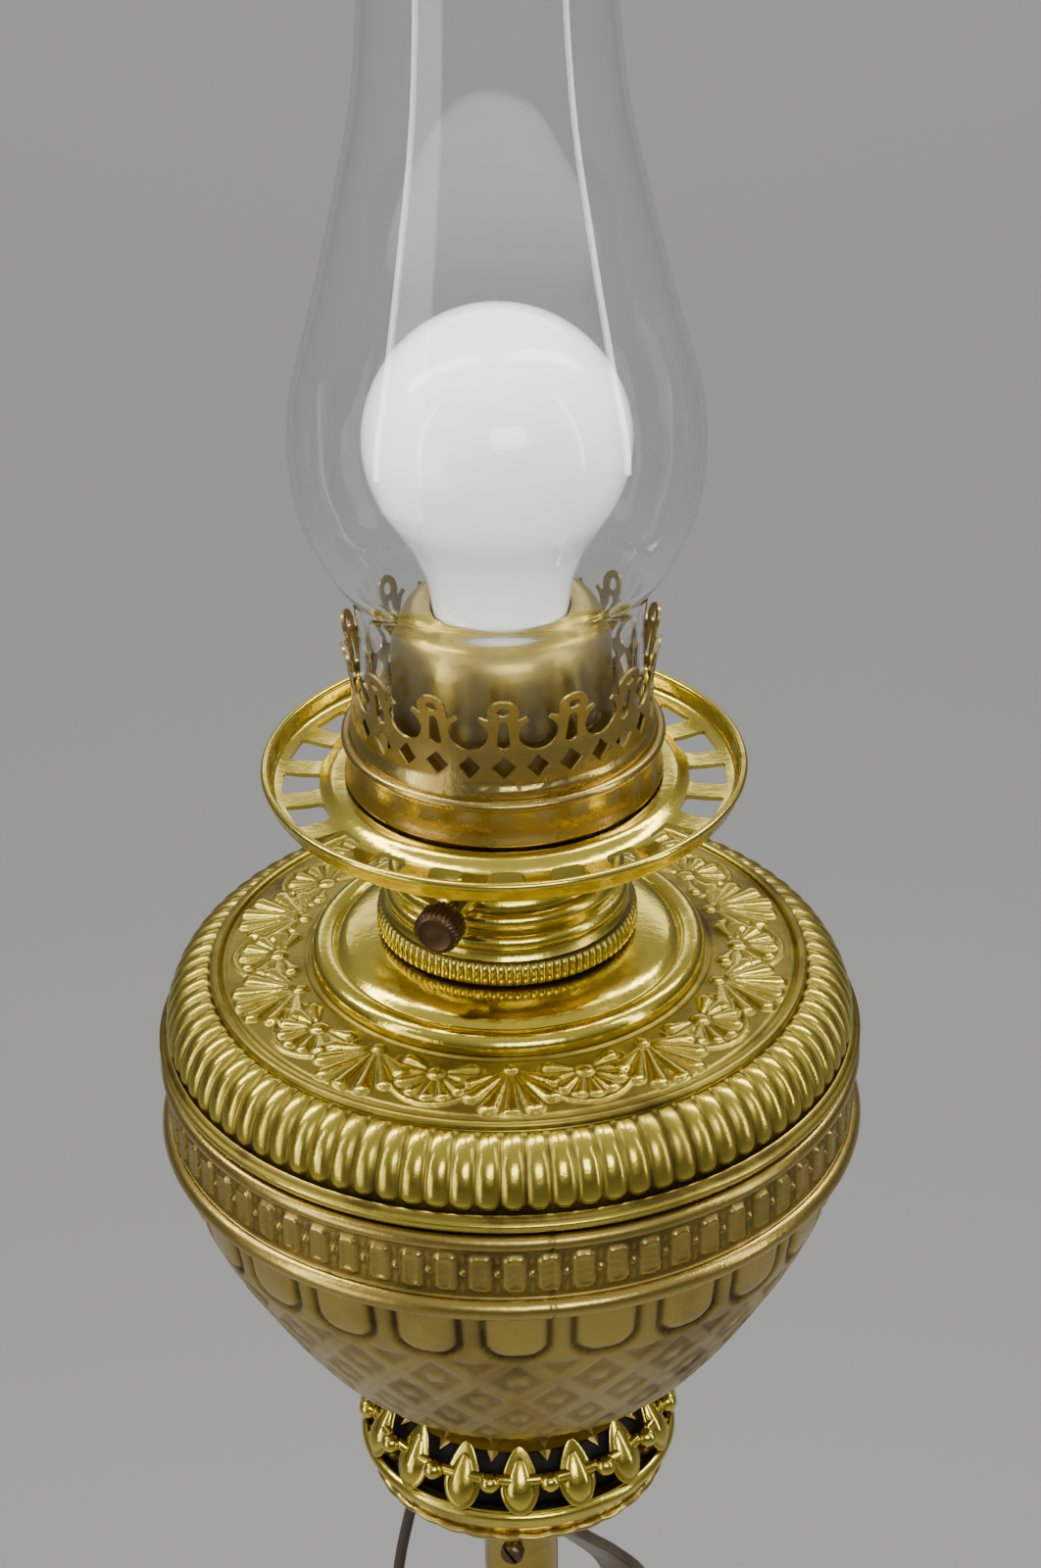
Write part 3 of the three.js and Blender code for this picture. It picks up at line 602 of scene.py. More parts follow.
@dataclass(frozen=True)
class Gallery:
    """The pierced gallery that grips the chimney.

    Args:
        bays: prongs around.
        radius: inside radius of the upright band in mm.
        flare: how far the tips lean out in mm.
        sheet: thickness in mm.
        foot: height of the band's lower edge from the bulb's centre, in mm.
    """

    bays: int = 14
    radius: float = 34.2
    flare: float = 2.4
    sheet: float = 0.6
    foot: float = -73.6

    @property
    def pitch(self) -> float:
        """Width of one bay in mm."""
        return TAU * self.radius / self.bays

    def _crest(self, x: float) -> list[Point]:
        """Returns the upper edge of one bay, from the round notch on its left to its prong's right."""
        notch = arc(x - self.pitch / 2, 18.2, 4.4, 118, 422, 28)
        left = [(x - 5.0, 22.9), (x - 3.2, 22.0)]
        head = arc(x, 24.2, 3.4, 205, -25, 18)
        right = [(x + 3.2, 22.0), (x + 5.0, 22.9)]
        return [*notch, *left, *head, *right]

    def _holes(self, x: float) -> list[list[Point]]:
        """Returns the pierced shapes of one bay."""
        eye = arc(x, 24.6, 1.3, 0, 330, 12)
        drop = [*arc(x, 21.2, 0.9, 20, 160, 6), *arc(x, 15.9, 1.5, 190, 350, 9)]
        diamonds = []
        for centre, half in ((x, 2.9), (x + self.pitch / 2, 2.6)):
            low = 9.6
            sides = [(centre - half, low), (centre, low + 2.9)]
            diamonds.append([*sides, (centre + half, low), (centre, low - 2.9)])
        return [eye, drop, *diamonds]

    def _flat(self) -> bpy.types.Object:
        """Draws the whole strip flat and fills it."""
        start = 3.2 - self.pitch
        length = self.pitch * self.bays
        top: list[Point] = []
        for bay in range(self.bays):
            top += self._crest(bay * self.pitch)
        seam = self._crest(-self.pitch)
        tail = [p for p in seam if p[0] > start + 0.2]
        body = [p for p in top if p[0] < start + length - 0.2]
        outline = [(start, 0.0), (start, 21.8), *tail, *body, (start + length, 21.8), (start + length, 0.0)]
        loops = [outline]
        for bay in range(-1, self.bays):
            for hole in self._holes(bay * self.pitch):
                middle = sum(p[0] for p in hole) / len(hole)
                if start < middle < start + length:
                    loops.append(hole)
        curve = bpy.data.curves.new("coronet", "CURVE")
        curve.dimensions = "2D"
        curve.fill_mode = "BOTH"
        for loop in loops:
            spline = curve.splines.new("POLY")
            spline.points.add(len(loop) - 1)
            for point, (x, y) in zip(spline.points, loop):
                point.co = (x * MM, y * MM, 0, 1)
            spline.use_cyclic_u = True
        obj = bpy.data.objects.new("coronet", curve)
        bpy.context.collection.objects.link(obj)
        activate(obj)
        bpy.ops.object.convert(target="MESH")
        return bpy.context.active_object

    def _slice(self, obj: bpy.types.Object) -> None:
        """Cuts the flat strip into narrow columns, so that it can bend."""
        activate(obj)
        bpy.ops.object.mode_set(mode="EDIT")
        columns = self.bays * 10
        for i in range(1, columns):
            x = (3.2 - self.pitch + i * self.pitch / 10) * MM
            bpy.ops.mesh.select_all(action="SELECT")
            bpy.ops.mesh.bisect(plane_co=(x, 0, 0), plane_no=(1, 0, 0))
        for y in (4.0, 5.0, 14.0, 18.0, 21.0):
            bpy.ops.mesh.select_all(action="SELECT")
            bpy.ops.mesh.bisect(plane_co=(0, y * MM, 0), plane_no=(0, 1, 0))
        bpy.ops.object.mode_set(mode="OBJECT")

    def build(self) -> None:
        """Makes the coronet and its base."""
        coronet = self._flat()
        self._slice(coronet)
        for vertex in coronet.data.vertices:
            x, y = vertex.co.x / MM, vertex.co.y / MM
            lean = max(0.0, y - 13) / 14
            step = 0.7 * max(0.0, min(1.0, (5.0 - y) / 1.0))
            radius = self.radius + self.flare * lean**1.6 + step
            turn = FRONT + x / self.radius
            height = self.foot + y + BULB_Z
            vertex.co = (radius * MM * math.cos(turn), radius * MM * math.sin(turn), height * MM)
        activate(coronet)
        bpy.ops.object.mode_set(mode="EDIT")
        bpy.ops.mesh.select_all(action="SELECT")
        bpy.ops.mesh.remove_doubles(threshold=5e-6)
        bpy.ops.mesh.normals_make_consistent(inside=False)
        bpy.ops.object.mode_set(mode="OBJECT")
        shell = coronet.modifiers.new("sheet", "SOLIDIFY")
        shell.thickness = self.sheet * MM
        shell.offset = 0
        bpy.ops.object.modifier_apply(modifier="sheet")
        soften(coronet)
        dress(coronet, RUBBED, Body.GALLERY, ["gallery_coronet"])
        bead = arc(35.9, -73.0, 1.35, 150, -60, 12)
        base = [(26.7, -75.9), (26.7, -75.0), (33.2, -74.9), (34.5, -74.2), *bead, (36.4, -75.0)]
        base += [(36.1, -76.4), (36.1, -81.3), (36.7, -82.2), (36.7, -82.9), (35.4, -82.9), (35.2, -76.4)]
        obj = turned("gallery-base", base, 144)
        dress(obj, RUBBED, Body.GALLERY, ["gallery_base"])


@dataclass(frozen=True)
class ShadeRing:
    """The slotted ring that a shade would stand on.

    Args:
        slots: openings around.
        bar: width of the bars between them in mm.
        near: inner radius of the slots in mm.
        far: outer radius of the slots in mm.
    """

    slots: int = 20
    bar: float = 5.8
    near: float = 42.6
    far: float = 51.2

    def _cutter(self) -> bpy.types.Object:
        """Returns the slots as one solid of rounded wedges."""
        cutters = []
        for i in range(self.slots):
            bpy.ops.mesh.primitive_cube_add(size=1)
            cube = bpy.context.active_object
            for v in cube.data.vertices:
                radius = self.near if v.co.x < 0 else self.far
                half = math.pi * radius / self.slots - self.bar / 2
                v.co = (radius * MM, math.copysign(half, v.co.y) * MM, (BULB_Z - 86 + 16 * v.co.z) * MM)
            turn_to(cube, FRONT + i * TAU / self.slots)
            cutters.append(cube)
        whole = joined("slot-cutter", cutters)
        bevel = whole.modifiers.new("round", "BEVEL")
        bevel.width = 1.1 * MM
        bevel.segments = 3
        activate(whole)
        bpy.ops.object.modifier_apply(modifier="round")
        return whole

    def build(self) -> None:
        """Spins the ring, cuts its slots and rounds the edges."""
        line = [(25.9, -87.0), (27.5, -85.2), (31, -84.2), (37.5, -83.6), (39.8, -83.9), (41.8, -85.3)]
        line += [(43.5, -86.1), (47, -86.3), (51.6, -86.1), (53.4, -85.4), (54.2, -83.6), (54.5, -82.4)]
        face = flowing(line, 4)
        rim = arc(55.15, -81.9, 0.95, 200, -60, 12)
        back = [(55.1, -83.4), (54.7, -85.4), (53.6, -86.8), (51.6, -87.2), (47, -87.4), (43, -87.2)]
        back += [(40.8, -86.2), (39, -84.9), (31, -85.2), (28.2, -86.2), (26.8, -88.0), (25.9, -88.0)]
        ring = turned("shade-ring", [*face, *rim, *back], 160)
        cutter = self._cutter()
        cut = ring.modifiers.new("slots", "BOOLEAN")
        cut.operation = "DIFFERENCE"
        cut.solver = "EXACT"
        cut.object = cutter
        activate(ring)
        bpy.ops.object.modifier_apply(modifier="slots")
        bpy.data.objects.remove(cutter)
        soften(ring, 30)
        dress(ring, BRIGHT, Body.FONT, ["shade_ring"])


@dataclass(frozen=True)
class Burner:
    """The short burner cylinder, the stepped collar and its milled ring.

    Args:
        beads: vertical beads of the milled ring.
    """

    beads: int = 98

    def _milling(self, turn: np.ndarray, radius: np.ndarray, height: np.ndarray) -> np.ndarray:
        """Upright beads round the ring."""
        across = repeat(turn, self.beads) * radius
        side = dome(np.abs(across), 0.9) * np.clip((radius - 29.4) / 0.5, 0, 1)
        ends = np.clip((height + 124.0) / 0.8, 0, 1) * np.clip((-118.6 - height) / 0.8, 0, 1)
        return 0.75 * side * np.sqrt(ends)

    def build(self) -> None:
        """Makes the three turned pieces and the key's bushing."""
        body = [(24.6, -87.3), (25.2, -88.6), (24.4, -90.4), (24.0, -92), (24.0, -104), (24.9, -105.6)]
        body += [(25.2, -107.4), (23.4, -107.6), (22.6, -104), (22.6, -88)]
        cylinder = turned("burner-cylinder", flowing(body, 3), 96)
        line = [(0, 29.6), (2.6, 29.6), (3.4, 28.8), (3.4, 24.6), (0, 24.0)]
        post = round_piece("key-bushing", line, 24, 0)
        lay_radially(post, Key.turn(), -102.5)
        dress(joined("burner-cylinder", [cylinder, post]), BRIGHT, Body.FONT, ["burner_body"])
        rolls = [(23.9, -106.6), (25.2, -106.8), *arc(25.5, -109.2, 2.3, 80, -62, 12)]
        rolls += [(26.5, -111.8), *arc(26.3, -114.4, 2.4, 78, -50, 12), (27.9, -117.0), (28.8, -118.2)]
        rolls += [(24, -118.4), (23, -108)]
        dress(turned("stepped-collar", rolls, 112), BRIGHT, Body.FONT, ["font_collar"])
        face = [(28.4, -118.2), (29.5, -118.4), (29.9, -119.0), (29.9, -120.4)]
        face += [(29.9, -121.8), (29.9, -123.2)]
        face += [(29.7, -124.1), (29.0, -124.6), (25.5, -124.6), (25.5, -118.2)]
        ring = turned("milled-ring", face, self.beads * 8)
        emboss(ring, self._milling, 0.6, -121, dark=0.9)
        dress(ring, STAMPED, Body.FONT)


def lay_radially(obj: bpy.types.Object, azimuth: float, height: float) -> bpy.types.Object:
    """Turns a piece that was spun about Z so that it points out at an azimuth, at a height in mm."""
    obj.data.transform(Matrix.Rotation(math.pi / 2, 4, "Y"))
    obj.data.transform(Matrix.Rotation(azimuth, 4, "Z"))
    obj.data.transform(Matrix.Translation((0, 0, (height + BULB_Z) * MM)))
    return obj


@dataclass(frozen=True)
class Key:
    """The knurled wick key.

    Args:
        azimuth: direction that it points, in degrees from +X.
        flutes: grooves of the knurling.
    """

    azimuth: float = -111.6
    flutes: int = 30

    @classmethod
    def turn(cls) -> float:
        """Returns the key's azimuth in radians."""
        return math.radians(cls.azimuth)

    def build(self) -> None:
        """Makes the shaft and the knurled drum."""
        shaft = round_piece("key-shaft", [(0, 19.6), (1.6, 19.7), (1.6, 30), (1.6, 38.4), (0, 38.5)], 20, 0)
        face = [(0, 37.4), (3.4, 37.4), (4.7, 37.8), (5.2, 38.6), (5.2, 40.4), (5.2, 42.4), (5.2, 43.8)]
        face += [(4.7, 44.5), (3.9, 44.8), (3.4, 44.6), (1.5, 44.7), (0, 44.75)]
        drum = turned("drum", face, self.flutes * 6, base=0)
        for v in drum.data.vertices:
            radius = math.hypot(v.co.x, v.co.y)
            if radius > 4.9 * MM:
                wave = 0.22 * math.cos(self.flutes * math.atan2(v.co.y, v.co.x))
                v.co.x *= 1 + wave * MM / radius
                v.co.y *= 1 + wave * MM / radius
        for piece in (shaft, drum):
            lay_radially(piece, self.turn(), -102.5)
        dress(joined("key-knob", [shaft, drum]), KNOB, Body.KEY, ["key"])


# --- Font ---


@dataclass(frozen=True)
class Font:
    """The drop-in font: plain cover, embossed flat, fluted shoulder and pan.

    Args:
        palmettes: palmettes round the flat, with as many rosettes between them.
        flutes: flutes of the shoulder.
        relief: height of the embossing in mm.
    """

    palmettes: int = 10
    flutes: int = 88
    relief: float = 1.15

    def _flowers(self, turn: np.ndarray, radius: np.ndarray, height: np.ndarray) -> np.ndarray:
        """Palmettes that open outwards, and smaller rosettes between them."""
        shape = np.zeros_like(turn)
        side = repeat(turn, self.palmettes)
        x, y = radius * np.sin(side), radius * np.cos(side) - 51.6
        for k in range(-3, 4):
            angle = math.radians(23 * k)
            far = 14.0 - 0.42 * k * k
            shape = np.maximum(shape, petal(x, y, angle, 2.4, far, 0.6, 2.25))
        shape = np.maximum(shape, 0.8 * dome(np.hypot(x, y + 0.6), 1.8))
        side = repeat(turn, self.palmettes, 0.5)
        x, y = radius * np.sin(side), radius * np.cos(side) - 54.2
        for k in range(-4, 5):
            angle = math.radians(29 * k)
            shape = np.maximum(shape, 0.9 * petal(x, y, angle, 3.2, 8.0, 0.7, 1.85))
        shape = np.maximum(shape, 0.9 * dome(np.hypot(x, y), 2.3))
        far_ring = np.abs(np.hypot(x, y) - 10.6)
        open_side = np.clip((y + 5) / 2, 0, 1)
        shape = np.maximum(shape, 0.55 * dome(far_ring, 0.6) * open_side)
        ripple = 0.05 * np.sin(radius * 5.3 + 9 * np.sin(31 * turn)) * np.sin(97 * turn)
        inside = np.clip((radius - 47.6) / 0.6, 0, 1) * np.clip((67.4 - radius) / 0.6, 0, 1)
        bare = np.where(inside > 0, 0.0, 0.72)
        return self.relief * np.maximum((shape + ripple) * inside, bare) - self.relief * 0.72 * (1 - inside)

    def _flutes(self, turn: np.ndarray, radius: np.ndarray, height: np.ndarray) -> np.ndarray:
        """Upright rounded ribs with round ends."""
        half = math.pi * 79 / self.flutes * 0.88
        across = np.abs(repeat(turn, self.flutes)) * 79
        low, high = -149.9, -136.9
        reach = np.clip(height, low + half * 0.6, high - half * 0.2)
        rib = dome(np.hypot(across, (height - reach) * 1.25), half)
        zone = (height < high + 1.5) & (height > low - 2.5) & (radius > 71.4)
        plain = 0.9 * np.clip((height - high) / 1.2, 0, 1) + 0.9 * (height < low - 1)
        return np.where(zone, 1.15 * rib, plain)

    def build(self) -> None:
        """Makes the cover, the flat, the shoulder and the pan."""
        cove = flowing([(26, -124.9), (30.5, -125.0), (35, -125.8), (38.6, -127.1), (40.8, -128.8)], 5)
        roll = arc(43.3, -131.0, 3.35, 128, -22, 18)
        cover = [*cove, *roll, (45.5, -133.2), (26, -133.2)]
        dress(turned("font-cover", cover, 128), BRIGHT, Body.FONT, ["font_cover"])

        across = [(46.2 + 0.5 * i, -132.4 - 2.1 * (0.5 * i) / 21.5) for i in range(44)]
        edge = [(68.1, -135.0), (68.5, -135.2), *arc(69.6, -135.1, 1.15, 165, -50, 12), (70.6, -136.4)]
        back = [(70.2, -137.4), (62, -136.2), (45.4, -134.4), (45.4, -132.6)]
        flat = turned("embossed-flat", [*across, *edge, *back], 864)
        emboss(flat, self._flowers, 1.05, -160, dark=0.62)
        dress(flat, STAMPED, Body.FONT, ["font_shell"])

        line = [(70.4, -136.2), (73.6, -137.2), (77.2, -139.8), (79.6, -143.8), (80.6, -148), (80.2, -152)]
        swell = flowing(line, 6)
        rim = arc(80.9, -152.9, 1.85, 75, -95, 14)
        inner = [(78.6, -154.8), (78.2, -152), (78.6, -148), (77.6, -144), (75.4, -141), (70.2, -138)]
        shoulder = turned("fluted-shoulder", [*swell, *rim, *inner], self.flutes * 10)
        emboss(shoulder, self._flutes, 1.3, -160, dark=0.85)
        dress(shoulder, STAMPED, Body.FONT)

        line = [(79.2, -155.4), (77.6, -156.4), (76.8, -168), (74.6, -183)]
        line += [(60, -206), (36, -221), (12, -227)]
        bowl = flowing(line, 5)
        pan = turned("font-pan", [*bowl, *inset(bowl, 0.9)], 96)
        dress(pan, AGED, Body.FONT)


# --- Urn ---


@dataclass(frozen=True)
class Urn:
    """The stamped band and the embossed bowl that hold the font.

    Args:
        stamps: rounded rectangles round the band.
        eggs: panels round the top of the bowl.
        seam: azimuth of the band's lap seam, in degrees from the front.
    """

    stamps: int = 66
    eggs: int = 24
    seam: float = 5.7

    def _stamps(self, turn: np.ndarray, radius: np.ndarray, height: np.ndarray) -> np.ndarray:
        """Rounded rectangles with a dot between each pair, on a sunk ground."""
        x = repeat(turn, self.stamps) * 82
        y = height + 167.0
        block = plateau(panel(x, y, 2.45, 4.9, 1.3), 0.7)
        dish = 0.35 * plateau(panel(x, y, 1.5, 3.9, 0.9), 1.2)
        between = repeat(turn, self.stamps, 0.5) * 82
        dot = dome(np.hypot(between, y), 0.85)
        bars = 0.3 * dome(np.abs(between), 0.3) * (np.abs(np.abs(y) - 4.0) < 1.0)
        ground = 0.22 + 0.07 * np.sin(height * 7 + 4 * np.sin(53 * turn)) * np.sin(211 * turn)
        field = (height < -160.3) & (height > -173.9)
        shape = 0.95 * np.maximum(np.maximum(block - dish, dot), bars) + ground
        lap = np.abs((turn - FRONT) * 82 - math.radians(self.seam) * 82)
        crack = 0.45 * np.exp(-((lap / 0.32) ** 2))
        return np.where(field, shape, 0.75) - crack

    def _bowl(self, turn: np.ndarray, radius: np.ndarray, height: np.ndarray) -> np.ndarray:
        """Egg panels over crossing straps with a lozenge in each mesh."""
        step = TAU / self.eggs
        x = repeat(turn, self.eggs) * radius
        half = step * radius / 2
        y = height + 184.6
        egg = 1.15 * plateau(panel(x, y, half * 0.68, 9.0, 5.6), 2.2)
        ribs = 0.85 * plateau(-panel(x, y, half * 0.68 + 1.5, 10.5, 7.1), 0.8)
        upper = np.maximum(egg, ribs)
        row = np.clip(-height - 194.5, 0, 60) / 10.5
        a = (turn - FRONT) / step + row / 2
        b = (turn - FRONT) / step - row / 2
        da = np.abs((a + 0.5) % 1 - 0.5) * step * radius * 0.72
        db = np.abs((b + 0.5) % 1 - 0.5) * step * radius * 0.72
        near = np.minimum(da, db)
        straps = 0.42 + 0.5 * dome(near, 2.3) - 0.16 * dome(near, 0.7)
        mesh_a = np.abs(a % 1 - 0.5) * step * radius
        mesh_b = np.abs(b % 1 - 0.5) * step * radius
        lozenge = 0.4 + 0.45 * plateau(mesh_a + mesh_b - radius * step * 0.24, 2.4)
        lower = np.maximum(straps, lozenge)
        blend = np.clip((height + 197.5) / 2.5, 0, 1)
        fade = np.clip((height + 246.0) / 3.0, 0, 1)
        return upper * blend + (lower * fade + 0.5 * (1 - fade)) * (1 - blend)

    def build(self) -> None:
        """Makes the band, the bowl and the leaf washer below it."""
        face = [(80.3, -157.0), *arc(81.5, -158.4, 1.45, 115, -75, 12)]
        face += [(81.4, -160.1 - 0.62 * i) for i in range(24)]
        face += [*arc(81.5, -176.6, 2.1, 78, -80, 14), (81.2, -179.0), (80.4, -179.6)]
        back = [(80.3, -174), (80.3, -162)]
        band = turned("urn-band", [*face, *back], self.stamps * 14)
        emboss(band, self._stamps, 0.8, -230, dark=0.85)
        dress(band, AGED, Body.STAND, ["urn_band"])

        line = [(79.6, -179.4), (79.2, -183), (77.6, -191), (73.4, -201.5), (66.5, -214), (57.5, -228.5)]
        line += [(48.5, -240), (38, -248.2), (30, -252.4), (26, -253.9), (8, -254.1)]
        bowl_face = flowing(line, 12)
        bowl = turned("urn-bowl", [*bowl_face, *inset(bowl_face, 1.1, 8)], self.eggs * 26)
        emboss(bowl, self._bowl, 1.15, -205, dark=0.8)
        dress(bowl, AGED, Body.STAND, ["urn_bowl"])
        self._leaves()
        refinish("urn_nut", DARK)
        refinish("through_rod", DARK)

    def _leaves(self) -> None:
        """Makes the washer with drooping pointed leaves."""
        points = 16
        inner = 22.0  # radius where the leaves part
        face = [(10, -254.4), (18, -254.4), (24, -254.7), (28.4, -255.4), (32, -257), (35.2, -259.8)]
        back = [(34.7, -260.5), (31.6, -258), (24, -255.7), (10, -255.4)]
        leaf = turned("leaf-washer", [*face, *back], points * 12)
        for v in leaf.data.vertices:
            radius = math.hypot(v.co.x, v.co.y) / MM
            if radius > inner:
                off = 1 - abs((math.atan2(v.co.y, v.co.x) - FRONT) / TAU * points % 1 - 0.5) * 2
                reach = inner + (radius - inner) * (0.36 + 0.64 * off**1.3)
                v.co.x *= reach / radius
                v.co.y *= reach / radius
                v.co.z += (radius - reach) * 0.45 * MM
        soften(leaf)
        dress(leaf, AGED, Body.STAND, ["leaf_washer"])


@dataclass(frozen=True)
class Knop:
    """The openwork knop of drops and beads.

    Args:
        drops: drops around.
        waist: largest radius in mm.
        drop_half_width: half of a drop's width in mm.
        drop_half_height: half of a drop's height in mm.
    """

    drops: int = 16
    waist: float = 38.0
    drop_half_width: float = 5.1
    drop_half_height: float = 8.9

    def _drop(self, size: float, depth: float, shift: float) -> bpy.types.Object:
        """Returns one pear-shaped drop on the +X side, `shift` mm down its own length."""
        deselect()
        bpy.ops.mesh.primitive_uv_sphere_add(segments=24, ring_count=16, radius=1)
        drop = bpy.context.active_object
        for v in drop.data.vertices:
            x, y, z = v.co
            taper = 1 - 0.34 * max(z + 0.3, 0)
            tall = self.drop_half_height * z * size - shift
            v.co = Vector((x * depth * taper, y * self.drop_half_width * size * taper, tall)) * MM
        drop.data.transform(Matrix.Rotation(math.radians(-22), 4, "Y"))
        drop.data.transform(Matrix.Translation((self.waist * 0.958 * MM, 0, (BULB_Z - 264.6) * MM)))
        return drop

    def build(self) -> None:
        """Makes the drops, the beads, the rings that join them and the dish below."""
        pieces = []
        for i in range(self.drops):
            turn = FRONT + i * TAU / self.drops
            pieces.append(turn_to(self._drop(1.0, 0.8, 0.0), turn))
            pieces.append(turn_to(self._drop(0.78, 2.7, 0.6), turn))
            deselect()
            bpy.ops.mesh.primitive_uv_sphere_add(segments=16, ring_count=10, radius=2.6 * MM)
            bead = bpy.context.active_object
            bead.data.transform(Matrix.Translation(((self.waist + 0.2) * MM, 0, (BULB_Z - 264.0) * MM)))
            pieces.append(turn_to(bead, turn + math.pi / self.drops))
        deselect()
        bpy.ops.mesh.primitive_torus_add(
            major_radius=(self.waist - 1.4) * MM,
            minor_radius=1.5 * MM,
            major_segments=96,
            minor_segments=10,
            location=(0, 0, (BULB_Z - 264.0) * MM),
        )
        pieces.append(bpy.context.active_object)
        crown = [(27, -256.2), (31, -256.8), (33.2, -258), (32.6, -259.2), (30, -258.4), (27, -257.4)]
        pieces.append(turned("crown", crown, 96))
        rim = [(36.6, -272.2), (38.6, -272.4), *arc(38.0, -274.6, 1.9, 70, -70, 10), (38.4, -277.2)]
        rim += [(37.4, -279.4), (35.4, -280.9), (33.8, -280.9), (35.2, -276.5)]
        pieces.append(turned("rim", rim, 128))
        for piece in pieces:
            activate(piece)
            bpy.ops.object.shade_smooth()
        dress(joined("openwork-knop", pieces), BRIGHT, Body.STAND, ["openwork_knop"])
        # A dark sheet inside the knop: painted shade for its closed-in hollow, seen through the windows.
        shade_fill = [(0, -256.4), (28, -256.6), (31.4, -261), (32.6, -268), (32, -276)]
        shade_fill += [(30, -280.9), (0, -280.9)]
        dress(turned("knop-shade-fill", shade_fill, 64), INSIDE_SHADE, Body.STAND)
        self._dish()

    def _dish(self) -> None:
        """Makes the scalloped dish between the knop and the stem."""
        line = [(36.4, -281.2), (37.2, -281.9), (36.6, -283.1), (32, -285.2), (24, -288.6), (17, -292.6)]
        face = flowing(line, 5)
        face += flowing([(13.4, -296), (11.2, -300.1)], 3)
        dish = turned("knop-dish", [*face, (5, -300.1), (5, -281.2)], 192)
        for v in dish.data.vertices:
            radius = math.hypot(v.co.x, v.co.y) / MM
            if radius > 30:
                wave = 0.55 * abs(math.sin(16 * (math.atan2(v.co.y, v.co.x) - FRONT))) * (radius - 30) / 7
                v.co.z -= wave * MM
        dress(dish, AGED, Body.STAND, ["knop_base"])


# --- Stand ---


def ribbon(name: str, line: Profile, width: float, thickness: float, round_off: float) -> bpy.types.Object:
    """Makes a flat strap along a line in the XZ plane, with rounded edges.

    Args:
        name: object name.
        line: (radius, height) points in mm, from the floor.
        width: width in mm, across the line.
        thickness: thickness in mm.
        round_off: radius of the edges in mm.

    Returns:
        The strap on the +X side.
    """
    verts = [(r * MM, side * width / 2 * MM, z * MM) for r, z in line for side in (-1, 1)]
    faces = [(2 * i, 2 * i + 1, 2 * i + 3, 2 * i + 2) for i in range(len(line) - 1)]
    mesh = bpy.data.meshes.new(name)
    mesh.from_pydata(verts, [], faces)
    obj = bpy.data.objects.new(name, mesh)
    bpy.context.collection.objects.link(obj)
    activate(obj)
    plate = obj.modifiers.new("plate", "SOLIDIFY")
    plate.thickness = thickness * MM
    plate.offset = 0
    plate.use_even_offset = True
    bpy.ops.object.modifier_apply(modifier="plate")
    edges = obj.modifiers.new("edges", "BEVEL")
    edges.width = round_off * MM
    edges.segments = 3
    edges.limit_method = "ANGLE"
    edges.angle_limit = math.radians(50)
    bpy.ops.object.modifier_apply(modifier="edges")
    bpy.ops.object.mode_set(mode="EDIT")
    bpy.ops.mesh.select_all(action="SELECT")
    bpy.ops.mesh.normals_make_consistent(inside=False)
    bpy.ops.object.mode_set(mode="OBJECT")
    soften(obj)
    return obj


